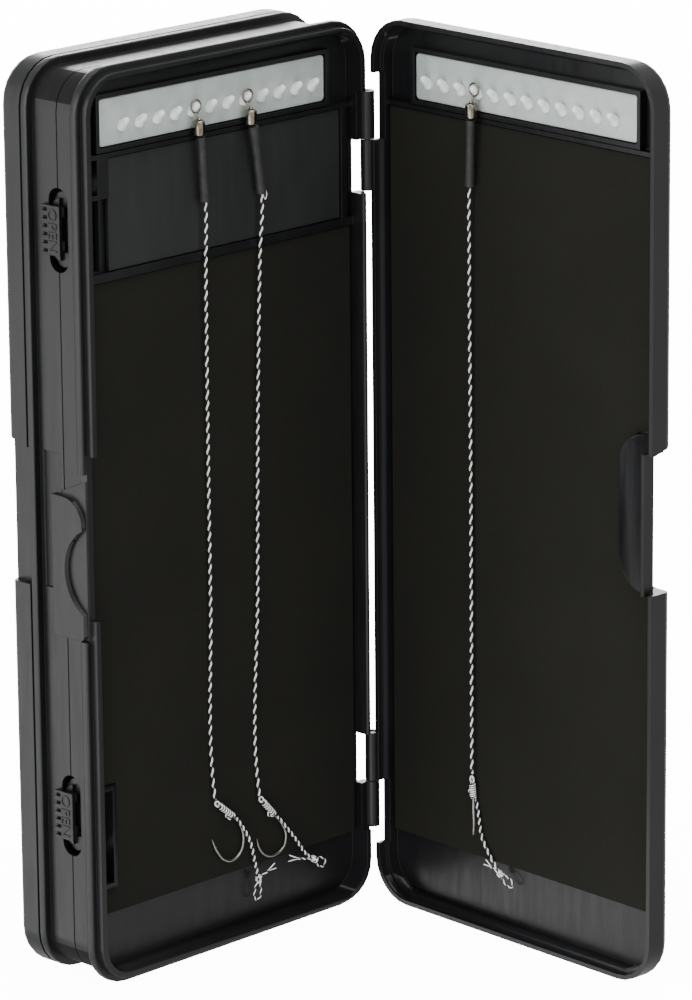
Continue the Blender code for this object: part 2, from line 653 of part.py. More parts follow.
def add_ribs(tray, own, side, joint):
    """Ribs on the tray floor: rail under the pegs, frame round the cover, column beside the wells."""
    x_inner, _ = spans(INNER_INSET)
    root = FLOOR_DEPTH + FLOOR_THICKNESS / 2
    x_whole = (x_inner[0] - WALL_THICKNESS / 2, x_inner[1] + WALL_THICKNESS / 2)
    y_rib = (tray_y(side, RAIL_DEPTH_IN_TRAY), tray_y(side, root))
    column_right = from_free(COVER_LEFT) - CLEARANCE
    column_left = from_free(INNER_INSET + WELL_INSET + UPPER_WELL_WIDTH)
    cover_right = HALF_WIDTH - COVER_RIGHT_MARGIN + CLEARANCE
    rib_top = COVER_BOTTOM - CLEARANCE
    rib_bottom = rib_top - TOP_RIB_WIDTH
    rail_top = RAIL_BOTTOM + RAIL_WIDTH
    cross_rib = RAIL_BOTTOM - UPPER_WELL_HEIGHT - 2 * WELL_INSET
    ribs = [
        ("rail", x_whole, (RAIL_BOTTOM, rail_top)),
        ("lower_rib", x_whole, (rib_bottom, rib_top)),
        ("column", (column_left, column_right), (cross_rib - WELL_RIB, rail_top)),
        ("right_rib", (cover_right, cover_right + WELL_RIB), (rib_bottom, rail_top)),
        ("cross_rib", (x_whole[0], column_right), (cross_rib - WELL_RIB, cross_rib)),
    ]
    for label, x_range, z_range in ribs:
        join(tray, block(f"{own}_{label}", x_range, y_rib, z_range, joint, cutter=True))


def cut_wells(tray, own, side, joint):
    """Wells through the floor behind the catches, the lower one in a low frame."""
    x_start = from_free(INNER_INSET + WELL_INSET)
    through = (tray_y(side, FLOOR_DEPTH + FLOOR_THICKNESS + OVERRUN), tray_y(side, -TONGUE_HEIGHT))
    frame_y = (tray_y(side, RAIL_DEPTH_IN_TRAY), tray_y(side, FLOOR_DEPTH + FLOOR_THICKNESS / 2))
    frame_x = (x_start - WELL_INSET - WALL_THICKNESS / 2, x_start + LOWER_WELL_WIDTH + WELL_RIB)
    frame_z = (LOWER_WELL_BOTTOM - WELL_RIB, LOWER_WELL_BOTTOM + LOWER_WELL_HEIGHT + WELL_RIB)
    join(tray, block(own + "_well_frame", frame_x, frame_y, frame_z, joint, cutter=True))
    upper_top = RAIL_BOTTOM - WELL_INSET
    upper_bottom = upper_top - UPPER_WELL_HEIGHT
    middle_top = upper_bottom - WELL_INSET - WELL_RIB
    wells = [
        ("lower", LOWER_WELL_WIDTH, (LOWER_WELL_BOTTOM, LOWER_WELL_BOTTOM + LOWER_WELL_HEIGHT)),
        ("upper", UPPER_WELL_WIDTH - WELL_INSET, (upper_bottom, upper_top)),
        ("middle", MIDDLE_WELL_WIDTH, (COVER_BOTTOM, middle_top - WELL_INSET)),
    ]
    for label, width, z_range in wells:
        cut(tray, block(f"{own}_{label}_well", (x_start, x_start + width), through, z_range, joint,
                        cutter=True))


def interrupt_tongue(tongue, own, side, joint):
    """Take the tongue away at the lid's set-back wall and at the hinge knuckles."""
    y_range = (tray_y(side, -TONGUE_HEIGHT - OVERRUN), tray_y(side, RIM_BAND_DEPTH))
    gap = (NOTCH_BOTTOM - TONGUE_GAP_DROP, SIDE_NOTCH[1] + NOTCH_WALL / 2 + 2 * CLEARANCE)
    cut(tongue, block(own + "_tongue_gap", (from_free(-OVERRUN), from_free(INNER_INSET + OVERRUN)), y_range,
                      gap, joint, cutter=True))
    for end, tray_span, lid_span in lid_hinge_groups():
        gap = (min(tray_span[0], lid_span[0]) - CLEARANCE, max(tray_span[1], lid_span[1]) + CLEARANCE)
        cut(tongue, block(f"{own}_{end}_tongue_gap", (HALF_WIDTH - HINGE_RELIEF_REACH, HALF_WIDTH + OVERRUN),
                          y_range, gap, joint, cutter=True))


def cut_grip_recess(tray, own, joint):
    """The shallow recess for the fingers in the back tray's wall, level with the notches."""
    recess_y = (tray_y(BACK, RIM_BAND_DEPTH + GRIP_RECESS_MARGIN), before_seam(BACK, GRIP_RECESS_MARGIN))
    cut(tray, block(own + "_grip_recess", (from_free(0), from_free(WALL_INSET + GRIP_RECESS_DEPTH)),
                    recess_y, SIDE_NOTCH, joint, cutter=True))


def add_lid_hinge_to_tray(tray, own, side, joint):
    """The tray's knuckles for its lid, and the reliefs for the lid's knuckles."""
    axis_y = tray_y(side, 0)
    for end, tray_span, lid_span in lid_hinge_groups():
        relief = (lid_span[0] - CLEARANCE, lid_span[1] + CLEARANCE)
        cut(tray, block(f"{own}_{end}_relief", (HALF_WIDTH - HINGE_RELIEF_REACH, HALF_WIDTH + OVERRUN),
                        (tray_y(side, -TONGUE_HEIGHT - OVERRUN), tray_y(side, HINGE_RELIEF_DEPTH)), relief,
                        joint, cutter=True))
        join(tray, block(f"{own}_{end}_web", (HALF_WIDTH - WALL_INSET - WALL_THICKNESS / 2, HINGE_X),
                         (tray_y(side, CLEARANCE), tray_y(side, KNUCKLE_WEB)), tray_span, joint, cutter=True))
        join(tray, knuckle(f"{own}_{end}_knuckle", HINGE_X, axis_y, tray_span, KNUCKLE_RADIUS, joint))
        bore = (min(tray_span[0], lid_span[0]) - OVERRUN, max(tray_span[1], lid_span[1]) + OVERRUN)
        cut(tray, knuckle(f"{own}_{end}_bore", HINGE_X, axis_y, bore, PIN_RADIUS + CLEARANCE, joint))


def build_lid(side, prefix, joint):
    """One lid: rounded shell, rebate for the tongue, thumb plateau with its notch, rail, knuckles."""
    def y(depth):
        return lid_y(side, depth)

    own = prefix + "_lid"
    x_outer, z_outer = spans(0)
    x_rebate, z_rebate = spans(LID_RIM_WALL)
    x_inner, z_inner = spans(LID_WALL)
    lid = block(own, x_outer, (y(0), y(LID_DEPTH)), z_outer, joint, corner_radius=CORNER_RADIUS,
                faces=(y(LID_DEPTH),), face_radius=LID_EDGE_RADIUS)
    cut(lid, block(own + "_rebate", x_rebate, (y(-OVERRUN), y(LID_REBATE_DEPTH)), z_rebate, joint,
                   cutter=True, corner_radius=CORNER_RADIUS - LID_RIM_WALL))
    cut(lid, block(own + "_hollow", x_inner, (y(-OVERRUN), y(LID_FLOOR_DEPTH)), z_inner, joint, cutter=True,
                   corner_radius=CORNER_RADIUS - LID_WALL))
    rail_root = LID_FLOOR_DEPTH + LID_FLOOR_THICKNESS / 2
    join(lid, block(own + "_rail", (x_inner[0] - LID_RIM_WALL / 2, x_inner[1] + LID_RIM_WALL / 2),
                    (y(RAIL_DEPTH_IN_LID), y(rail_root)), (RAIL_BOTTOM, RAIL_BOTTOM + RAIL_WIDTH), joint,
                    cutter=True))
    cut_side_notch(lid, own, side, joint)
    for end, tray_span, lid_span in lid_hinge_groups():
        stretch = HINGE_RELIEF_EXTRA if end == "upper" else 0
        drop = HINGE_RELIEF_EXTRA if end == "lower" else 0
        relief = (tray_span[0] - CLEARANCE - drop, tray_span[1] + CLEARANCE + stretch)
        cut(lid, block(f"{own}_{end}_relief", (HALF_WIDTH - LID_WALL - OVERRUN / 2, HALF_WIDTH + OVERRUN),
                       (y(-OVERRUN), y(HINGE_RELIEF_DEPTH)), relief, joint, cutter=True))
        join(lid, block(f"{own}_{end}_web", (HALF_WIDTH - LID_RIM_WALL, HINGE_X),
                        (y(CLEARANCE), y(KNUCKLE_WEB)), lid_span, joint, cutter=True))
        join(lid, knuckle(f"{own}_{end}_knuckle", HINGE_X, tray_y(side, 0), lid_span, KNUCKLE_RADIUS, joint))
        bore = (min(tray_span[0], lid_span[0]) - OVERRUN, max(tray_span[1], lid_span[1]) + OVERRUN)
        cut(lid, knuckle(f"{own}_{end}_bore", HINGE_X, tray_y(side, 0), bore, PIN_RADIUS + CLEARANCE, joint))
    return finish(lid, BLACK_PLASTIC)


def cut_side_notch(lid, own, side, joint):
    """The notch in a lid's free side with its set-back wall; the front lid also has a thumb recess."""
    low, high = SIDE_NOTCH
    setback = NOTCH_SETBACK if side == FRONT else BACK_NOTCH_SETBACK
    wall_end = LID_FLOOR_DEPTH + LID_FLOOR_THICKNESS / 2
    if side == FRONT:
        wall_end = PLATEAU_DEPTH + PLATEAU_THICKNESS / 2
        add_plateau(lid, own, joint)
    join(lid, block(own + "_set_back_wall", (from_free(setback), from_free(setback + NOTCH_WALL)),
                    (lid_y(side, 0), lid_y(side, wall_end)),
                    (low - NOTCH_WALL / 2, high + NOTCH_WALL / 2), joint, cutter=True))
    if side == FRONT:
        cut_thumb_recess(lid, own, joint)
    before = lid_y(side, -OVERRUN)
    beyond = lid_y(side, LID_DEPTH + OVERRUN)
    top_at_outer_face = high + SIDE_NOTCH_SLOPE
    outline = [(before, low), (beyond, low), (beyond, top_at_outer_face), (before, high)]
    cut(lid, outline_prism(own + "_side_notch", outline, (from_free(-OVERRUN), from_free(setback)), joint,
                           cutter=True))


def add_plateau(lid, own, joint):
    """The D-shaped plateau inside the front lid, behind its thumb recess."""
    join(lid, block(own + "_plateau", (from_free(LID_RIM_WALL / 2), from_free(PLATEAU_REACH)),
                    (lid_y(FRONT, PLATEAU_DEPTH), lid_y(FRONT, LID_FLOOR_DEPTH + LID_FLOOR_THICKNESS / 2)),
                    (NOTCH_BOTTOM, NOTCH_BOTTOM + NOTCH_HEIGHT), joint, cutter=True,
                    corner_radius=PLATEAU_CORNER_RADIUS, corners="high"))


def cut_thumb_recess(lid, own, joint):
    """The D-shaped recess in the front lid's outer face."""
    cut(lid, block(own + "_thumb_recess", (from_free(-OVERRUN), from_free(PLATEAU_REACH - NOTCH_WALL)),
                   (lid_y(FRONT, PLATEAU_DEPTH + PLATEAU_THICKNESS), lid_y(FRONT, LID_DEPTH + OVERRUN)),
                   SIDE_NOTCH, joint, cutter=True, corner_radius=PLATEAU_CORNER_RADIUS - NOTCH_WALL,
                   corners="high"))


def strip_x_range():
    return from_free(STRIP_FREE_MARGIN), from_free(STRIP_FREE_MARGIN + STRIP_LENGTH)


def peg_x(number):
    return from_free(STRIP_FREE_MARGIN + FIRST_PEG_OFFSET + number * PEG_PITCH)


def build_strip(prefix, place_y, strip_depth, joint):
    """A translucent strip of pegs, each tilted up so a swivel eye stays on it, and its frame."""
    x_range = strip_x_range()
    z_range = (STRIP_BOTTOM, STRIP_BOTTOM + STRIP_HEIGHT)
    y_range = (place_y(strip_depth), place_y(strip_depth + STRIP_THICKNESS))
    strip = block(prefix + "_peg_strip", x_range, y_range, z_range, joint, corner_radius=STRIP_CORNER_RADIUS)
    tilt = math.radians(PEG_TILT_DEGREES)
    shaft_reach = PEG_REACH - PEG_RADIUS
    for number in range(PEG_COUNT):
        x = peg_x(number)
        root = (x, place_y(strip_depth + STRIP_THICKNESS / 2),
                PEG_HEIGHT_ABOVE_FLOOR - STRIP_THICKNESS / 2 * math.tan(tilt))
        tip = (x, place_y(strip_depth - shaft_reach), PEG_HEIGHT_ABOVE_FLOOR + shaft_reach * math.tan(tilt))
        name = f"{prefix}_peg_{number}"
        join(strip, peg(name, root, tip, joint))
    frame = block(prefix + "_strip_frame",
                  (x_range[0] - CLEARANCE - FRAME_BAR, x_range[1] + CLEARANCE + FRAME_BAR),
                  (place_y(strip_depth - FRAME_PROUD), y_range[1]),
                  (z_range[0] - CLEARANCE - FRAME_BAR, z_range[1] + CLEARANCE + FRAME_BAR), joint)
    through = (place_y(strip_depth - FRAME_PROUD - OVERRUN), place_y(strip_depth + STRIP_THICKNESS + OVERRUN))
    cut(frame, block(prefix + "_strip_frame_window", (x_range[0] - CLEARANCE, x_range[1] + CLEARANCE),
                     through, (z_range[0] - CLEARANCE, z_range[1] + CLEARANCE), joint, cutter=True,
                     corner_radius=STRIP_CORNER_RADIUS))
    return finish(strip, FROSTED_PLASTIC), finish(frame, BLACK_PLASTIC)


def peg(name, root, tip, joint):
    """One peg: a slightly tapered shaft with a rounded tip."""
    root = Vector(root)
    tip = Vector(tip)
    mesh_data = bmesh.new()
    bmesh.ops.create_cone(mesh_data, cap_ends=True, cap_tris=False, segments=ROUND_SEGMENTS // 2,
                          radius1=PEG_ROOT_RADIUS, radius2=PEG_RADIUS, depth=(tip - root).length + PEG_RADIUS)
    far_cap = [edge for edge in mesh_data.edges if all(vertex.co.z > 0 for vertex in edge.verts)]
    bmesh.ops.bevel(mesh_data, geom=far_cap, offset=PEG_RADIUS / 2, offset_type="OFFSET",
                    segments=EDGE_SEGMENTS, profile=0.5, affect="EDGES", clamp_overlap=True)
    axis = (tip - root).normalized()
    turn = Vector((0, 0, 1)).rotation_difference(axis).to_matrix().to_4x4()
    mesh_data.transform(Matrix.Translation((root + tip + axis * PEG_RADIUS) / 2) @ turn)
    return object_from_bmesh(name, mesh_data, joint, cutter=True)


def build_sheets(side, prefix, tray_joint, lid_joint):
    """The foam sheets of a tray and its lid, and the cover plate above the tray's sheet."""
    tray_floor = FLOOR_DEPTH - CLEARANCE
    x_inner, _ = spans(INNER_INSET + SHEET_MARGIN)
    sheet_top = COVER_BOTTOM - TOP_RIB_WIDTH - 2 * CLEARANCE
    y_tray = (tray_y(side, tray_floor - INLAY_THICKNESS), tray_y(side, tray_floor))
    sheet = block(prefix + "_tray_sheet", x_inner, y_tray, (SHEET_BOTTOM, sheet_top), tray_joint)
    well_right = from_free(INNER_INSET + WELL_INSET + LOWER_WELL_WIDTH + WELL_RIB + CLEARANCE)
    cut(sheet, block(prefix + "_tray_sheet_well", (from_free(0), well_right),
                     (tray_y(side, 0), tray_y(side, FLOOR_DEPTH)),
                     (LOWER_WELL_BOTTOM - WELL_RIB - CLEARANCE,
                      LOWER_WELL_BOTTOM + LOWER_WELL_HEIGHT + WELL_RIB + CLEARANCE), tray_joint, cutter=True))
    cover = block(prefix + "_tray_cover", (from_free(COVER_LEFT), HALF_WIDTH - COVER_RIGHT_MARGIN), y_tray,
                  (COVER_BOTTOM, RAIL_BOTTOM - CLEARANCE), tray_joint)
    lid_floor = LID_FLOOR_DEPTH - CLEARANCE
    x_lid, _ = spans(LID_WALL + SHEET_MARGIN)
    lid_sheet = block(prefix + "_lid_sheet", x_lid,
                      (lid_y(side, lid_floor - INLAY_THICKNESS), lid_y(side, lid_floor)),
                      (SHEET_BOTTOM, RAIL_BOTTOM - CLEARANCE), lid_joint)
    if side == FRONT:
        cut(lid_sheet, block(prefix + "_lid_sheet_notch",
                             (from_free(0), from_free(PLATEAU_REACH + CLEARANCE)),
                             (lid_y(side, 0), lid_y(side, LID_FLOOR_DEPTH)),
                             (NOTCH_BOTTOM - CLEARANCE, NOTCH_BOTTOM + NOTCH_HEIGHT + CLEARANCE), lid_joint,
                             cutter=True, corner_radius=PLATEAU_CORNER_RADIUS, corners="high"))
    else:
        wall_room = NOTCH_WALL / 2 + CLEARANCE
        cut(lid_sheet, block(prefix + "_lid_sheet_notch",
                             (from_free(0), from_free(BACK_NOTCH_SETBACK + NOTCH_WALL + CLEARANCE)),
                             (lid_y(side, 0), lid_y(side, LID_FLOOR_DEPTH)),
                             (SIDE_NOTCH[0] - wall_room, SIDE_NOTCH[1] + wall_room), lid_joint, cutter=True))
    finish(sheet, FOAM)
    finish(cover, GREY_PLASTIC)
    finish(lid_sheet, FOAM)


def build_lid_pins(side, prefix, joint):
    for end, tray_span, lid_span in lid_hinge_groups():
        low = min(tray_span[0], lid_span[0]) + CLEARANCE
        high = max(tray_span[1], lid_span[1]) - CLEARANCE
        y = tray_y(side, 0)
        pin = cylinder(f"{prefix}_hinge_pin_{end}", (HINGE_X, y, low), (HINGE_X, y, high), PIN_RADIUS, joint)
        finish(pin, STEEL)


def build_middle_pins(joint):
    for end, front_spans, _ in middle_hinge_groups():
        low = front_spans[0][0] + CLEARANCE
        high = front_spans[1][1] - CLEARANCE
        pin = cylinder(f"middle_hinge_pin_{end}", (MIDDLE_HINGE_X, SEAM_Y, low),
                       (MIDDLE_HINGE_X, SEAM_Y, high), PIN_RADIUS, joint)
        finish(pin, STEEL)


def build_catch(name, height, joint):
    """A slide catch: button outside the wall, stem through the oval, flange and tooth inside."""
    wall_face = from_free(WALL_INSET)
    button_x = (wall_face - CLEARANCE - BUTTON_THICKNESS, wall_face - CLEARANCE)
    button_z = (height - BUTTON_LENGTH / 2, height + BUTTON_LENGTH / 2)
    catch = block(name, button_x, (SEAM_Y - BUTTON_FRONT_REACH, SEAM_Y + BUTTON_BACK_REACH), button_z, joint)
    stem_width = OVAL_WIDTH - 2 * CLEARANCE
    stem_length = OVAL_LENGTH - 2 * CLEARANCE - 2 * CATCH_TRAVEL
    inner_face = from_free(INNER_INSET) + CLEARANCE
    stem = stadium(name + "_stem", (wall_face + STEM_SETBACK, inner_face + FLANGE_THICKNESS / 2), SEAM_Y,
                   height, stem_length, stem_width, joint, cutter=True)
    half = block(name + "_stem_half", (from_free(-OVERRUN), from_free(INNER_INSET + CATCH_TRAVEL)),
                 (SEAM_Y - OVAL_WIDTH, SEAM_Y + CLEARANCE),
                 (height - OVAL_LENGTH, height + OVAL_LENGTH), joint, cutter=True)
    cut(stem, half)
    neck_z = (button_z[0] + GRIP_WIDTH, button_z[1] - GRIP_WIDTH)
    neck = block(name + "_neck", (button_x[1] - BUTTON_THICKNESS / 2, wall_face + WALL_THICKNESS),
                 (SEAM_Y + CLEARANCE, SEAM_Y + stem_width / 2 - CLEARANCE), neck_z, joint, cutter=True)
    flange_x = (inner_face, inner_face + FLANGE_THICKNESS)
    flange = block(name + "_flange", flange_x, (SEAM_Y + CLEARANCE, SEAM_Y + OVAL_WIDTH / 2 + FLANGE_REACH),
                   (height - stem_length / 2, height + stem_length / 2), joint, cutter=True)
    tooth = block(name + "_tooth", flange_x, (SEAM_Y - TOOTH_REACH, SEAM_Y + 2 * CLEARANCE),
                  (height - TOOTH_LENGTH / 2, height + TOOTH_LENGTH / 2), joint, cutter=True)
    join(catch, neck, stem, flange, tooth)
    for number in range(GRIP_COUNT):
        middle = height + (number - (GRIP_COUNT - 1) / 2) * GRIP_PITCH
        y_end = SEAM_Y + BUTTON_BACK_REACH
        groove = (middle - GRIP_WIDTH / 2, middle + GRIP_WIDTH / 2)
        cut(catch, block(f"{name}_grip_{number}", (button_x[0] - OVERRUN, button_x[0] + GRIP_DEPTH),
                         (y_end - GRIP_LENGTH, y_end + OVERRUN), groove, joint, cutter=True))
    return finish(catch, BLACK_PLASTIC)


def build_rig(name, place, routes, joint):
    """One rig hung by its swivel eye, with its pieces as separate nodes.

    place turns (across, drop, lift) from the rig's peg into coordinates of the closed box.
    """
    build_swivel(name, place, joint)
    top, bottom = (place(point) for point in routes["sleeve"])
    sleeve = cylinder(name + "_sleeve", top, bottom, SLEEVE_TOP_RADIUS, joint,
                      end_radius=SLEEVE_BOTTOM_RADIUS)
    axis = (bottom - top).normalized()
    cut(sleeve, cylinder(name + "_sleeve_bore", bottom - axis * SLEEVE_BORE_DEPTH, bottom + axis * OVERRUN,
                         SLEEVE_BORE_RADIUS, joint, cutter=True))
    finish(sleeve, RUBBER)
    head, tail = (place(point) for point in routes["whipping"])
    start = bottom - axis * (SLEEVE_BORE_DEPTH - 2 * CLEARANCE)
    link_route = [start, *(place(point) for point in routes["link"])]
    link_route.append(stop_short(link_route[-1], head, BRAID_RADIUS + CLEARANCE))
    finish(tube(name + "_hooklink", smooth_points(link_route, CORD_STEP), BRAID_RADIUS, joint), BRAID)
    finish(cylinder(name + "_whipping", head, tail, WHIPPING_RADIUS, joint, edge_radius=BARREL_EDGE_RADIUS),
           BRAID)
    exit_point = tail + (tail - head).normalized() * CLEARANCE
    shared_tail = routes["whipping"][1]
    hook_route = [exit_point]
    for shares in routes["hook"]:
        hook_route.append(place([offset + HOOK_LENGTH * share for offset, share in zip(shared_tail, shares)]))
    finish(tube(name + "_hook", smooth_points(hook_route, HAIR_STEP), HOOK_WIRE_RADIUS, joint), STEEL)
    hair_side = 1 if routes["hair"][0][2] > shared_tail[2] else -1
    outward = place((0, 0, hair_side)) - place((0, 0, 0))
    beside_hook = HOOK_WIRE_RADIUS + HAIR_RADIUS + CLEARANCE
    hair_route = [exit_point + outward * beside_hook, *(place(point) for point in routes["hair"])]
    hair_route.append(stop_short(hair_route[-1], place(routes["knot"]), KNOT_RADIUS + CLEARANCE))
    finish(tube(name + "_hair", smooth_points(hair_route, HAIR_STEP), HAIR_RADIUS, joint), BRAID)
    build_loop(name, place, routes, joint)


def stop_short(start, target, distance):
    """A point on the way from start to target, a distance before the target."""
    return target + (start - target).normalized() * distance


def build_swivel(name, place, joint):
    """The swivel: a wire eye round the peg, a neck and a barrel."""
    tilt = math.tan(math.radians(PEG_TILT_DEGREES))
    eye_rise = EYE_LIFT * tilt
    barrel_top = place((0, BARREL_DROP, BARREL_LIFT))
    barrel_bottom = place((0, BARREL_DROP + BARREL_LENGTH, BARREL_LIFT))
    swivel = cylinder(name + "_swivel", barrel_top, barrel_bottom, BARREL_RADIUS, joint,
                      edge_radius=BARREL_EDGE_RADIUS)
    eye = []
    for number in range(EYE_STEPS):
        angle = 2 * math.pi * number / EYE_STEPS
        eye.append(place((EYE_RADIUS * math.sin(angle), -eye_rise - EYE_RADIUS * math.cos(angle), EYE_LIFT)))
    join(swivel, tube(name + "_eye", eye, EYE_WIRE_RADIUS, joint, cutter=True, closed=True))
    neck = [place((0, EYE_RADIUS - eye_rise, EYE_LIFT)),
            place((0, (EYE_RADIUS - eye_rise + BARREL_DROP) / 2, EYE_LIFT + (BARREL_LIFT - EYE_LIFT) / 2)),
            place((0, BARREL_DROP + BARREL_EDGE_RADIUS, BARREL_LIFT))]
    join(swivel, tube(name + "_neck", neck, EYE_WIRE_RADIUS, joint, cutter=True))
    finish(swivel, BRASS)


def build_loop(name, place, routes, joint):
    """The knot at the end of the hair, with its small loop and its cut tag."""
    knot = place(routes["knot"])
    end = place(routes["loop_end"])
    tag = place(routes["tag_end"])
    along = (end - knot).normalized()
    sideways = along.cross(place((0, 0, 1)) - place((0, 0, 0))).normalized() * LOOP_HALF_WIDTH
    reach = (end - knot).length
    foot = sideways * LOOP_FOOT_SHARE
    shoulder = sideways * LOOP_SHOULDER_SHARE
    middle = knot + along * (reach / 2)
    upper = knot + along * (reach - LOOP_HALF_WIDTH / 2)
    loop_route = [knot + foot, middle + sideways, upper + shoulder, end, upper - shoulder, middle - sideways,
                  knot - foot]
    loop = ball(name + "_loop", knot, KNOT_RADIUS, joint)
    loop_points = smooth_points(loop_route, HAIR_STEP)
    join(loop, tube(name + "_loop_wire", loop_points, HAIR_RADIUS, joint, cutter=True))
    tag_points = smooth_points([knot, tag], HAIR_STEP)
    join(loop, tube(name + "_tag_wire", tag_points, HAIR_RADIUS, joint, cutter=True))
    finish(loop, BRAID)


def tray_rig_place(side, peg_number):
    """Places on a tray, measured from one of its pegs."""
    def place(offsets):
        across, drop, lift = offsets
        return Vector((peg_x(peg_number) + across, tray_y(side, TRAY_STRIP_DEPTH - lift),
                       PEG_HEIGHT_ABOVE_FLOOR - drop))
    return place


def lid_rig_place(side, peg_number):
    """Places on a closed lid, measured from one of its pegs; across runs away from the hinge."""
    def place(offsets):
        across, drop, lift = offsets
        return Vector((peg_x(peg_number) - across, lid_y(side, LID_STRIP_DEPTH - lift),
                       PEG_HEIGHT_ABOVE_FLOOR - drop))
    return place


def rig_routes(sleeve, link, whipping, hook, hair, knot, loop_end, tag_end):
    return {"sleeve": sleeve, "link": link, "whipping": whipping, "hook": hook, "hair": hair, "knot": knot,
            "loop_end": loop_end, "tag_end": tag_end}


remove_everything()
PARTS = new_collection("rig_box")
CUTTERS = new_collection("cutters")

BLACK_PLASTIC = make_material("black_plastic", (0.022, 0.022, 0.024), 0.38)
GREY_PLASTIC = make_material("grey_plastic", (0.030, 0.031, 0.033), 0.42)
FOAM = make_material("foam", (0.014, 0.014, 0.012), 0.90)
FROSTED_PLASTIC = make_material("frosted_plastic", (0.43, 0.47, 0.44), 0.45)
STEEL = make_material("steel", (0.30, 0.29, 0.28), 0.30, 1.0)
BRASS = make_material("brass", (0.55, 0.47, 0.33), 0.22, 1.0)
RUBBER = make_material("rubber", (0.020, 0.020, 0.020), 0.60)
BRAID = make_material("braid", (0.60, 0.60, 0.58), 0.80)


def build_rig_box():
    back_half = Joint("back_half_axis", (MIDDLE_HINGE_X, SEAM_Y, 0))
    front_lid = Joint("front_lid_axis", (HINGE_X, tray_y(FRONT, 0), 0))
    back_lid = Joint("back_lid_axis", (HINGE_X, tray_y(BACK, 0), 0), parent=back_half)
    catch_y = SEAM_Y + BUTTON_BACK_REACH / 2
    catch_x = from_free(WALL_INSET)
    lower_catch = Joint("lower_catch_axis", (catch_x, catch_y, LOWER_CATCH_HEIGHT), parent=back_half)
    upper_catch = Joint("upper_catch_axis", (catch_x, catch_y, UPPER_CATCH_HEIGHT), parent=back_half)
    for side, prefix, tray_joint, lid_joint in ((FRONT, "front", None, front_lid),
                                                (BACK, "back", back_half, back_lid)):
        build_tray(side, prefix, tray_joint)
        build_lid(side, prefix, lid_joint)
        build_strip(prefix + "_tray", lambda depth, s=side: tray_y(s, depth), TRAY_STRIP_DEPTH, tray_joint)
        build_strip(prefix + "_lid", lambda depth, s=side: lid_y(s, depth), LID_STRIP_DEPTH, lid_joint)
        build_sheets(side, prefix, tray_joint, lid_joint)
        build_lid_pins(side, prefix, tray_joint)
    build_middle_pins(None)
    build_catch("lower_catch", LOWER_CATCH_HEIGHT, lower_catch)
    build_catch("upper_catch", UPPER_CATCH_HEIGHT, upper_catch)
    build_rig("rig_1", tray_rig_place(FRONT, RIG_1_PEG),
              rig_routes(RIG_1_SLEEVE, RIG_1_LINK, RIG_1_WHIPPING, RIG_1_HOOK_SHARES, RIG_1_HAIR, RIG_1_KNOT,
                         RIG_1_LOOP_END, RIG_1_TAG_END), None)
    build_rig("rig_2", tray_rig_place(FRONT, RIG_2_PEG),
              rig_routes(RIG_2_SLEEVE, RIG_2_LINK, RIG_2_WHIPPING, RIG_2_HOOK_SHARES, RIG_2_HAIR, RIG_2_KNOT,
                         RIG_2_LOOP_END, RIG_2_TAG_END), None)
    build_rig("rig_3", lid_rig_place(FRONT, RIG_3_PEG),
              rig_routes(RIG_3_SLEEVE, RIG_3_LINK, RIG_3_WHIPPING, RIG_3_HOOK_SHARES, RIG_3_HAIR, RIG_3_KNOT,
                         RIG_3_LOOP_END, RIG_3_TAG_END), front_lid)
    front_lid.empty.rotation_euler = (0, 0, math.radians(FRONT_LID_OPEN_DEGREES))


build_rig_box()
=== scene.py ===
"""Looks of the double-sided rig box: camera, light, rigs on their pegs, peg strips, catches, finishes.

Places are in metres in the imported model's frame. X runs from the free side to the hinge side, -Y is
the way out of the front tray, Z is up. The front lid stands open.
"""

import math

import bmesh
import bpy
from mathutils import Matrix, Vector


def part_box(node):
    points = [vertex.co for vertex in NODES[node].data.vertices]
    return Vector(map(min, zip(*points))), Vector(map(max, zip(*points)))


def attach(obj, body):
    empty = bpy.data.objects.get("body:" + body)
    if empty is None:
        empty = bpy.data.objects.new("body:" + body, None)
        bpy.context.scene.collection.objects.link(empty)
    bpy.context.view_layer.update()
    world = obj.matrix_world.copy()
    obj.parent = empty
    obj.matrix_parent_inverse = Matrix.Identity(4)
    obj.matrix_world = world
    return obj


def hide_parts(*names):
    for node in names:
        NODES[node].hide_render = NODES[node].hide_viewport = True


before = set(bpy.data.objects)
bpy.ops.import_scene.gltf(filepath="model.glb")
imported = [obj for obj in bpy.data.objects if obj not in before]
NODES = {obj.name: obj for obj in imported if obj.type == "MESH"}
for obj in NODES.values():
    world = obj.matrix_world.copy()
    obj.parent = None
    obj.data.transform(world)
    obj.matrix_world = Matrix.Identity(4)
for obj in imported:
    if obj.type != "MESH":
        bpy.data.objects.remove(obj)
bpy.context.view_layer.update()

# Sizes repeated from the part's source
BOX_WIDTH = 0.102
BOX_HEIGHT = 0.240
FRONT_TRAY_DEPTH = 0.0092
BACK_TRAY_DEPTH = 0.0112
RIM_BAND_DEPTH = 0.0024
CLEARANCE = 0.0003
HINGE_OFFSET = 0.0009
FRONT_LID_OPEN_DEGREES = 87.3
STRIP_INSET = 0.0096
STRIP_LENGTH = 0.0794
STRIP_BOTTOM = 0.2193
STRIP_HEIGHT = 0.0120
STRIP_THICKNESS = 0.0014
TRAY_STRIP_DEPTH = 0.0020
LID_STRIP_DEPTH = 0.0040
PEG_HEIGHT = 0.2241
FIRST_PEG = 0.0174
PEG_PITCH = 0.0061
PEG_COUNT = 12
PEG_TILT_DEGREES = 35.0
CATCH_HEIGHTS = {"lower_catch": 0.0451, "upper_catch": 0.1985}

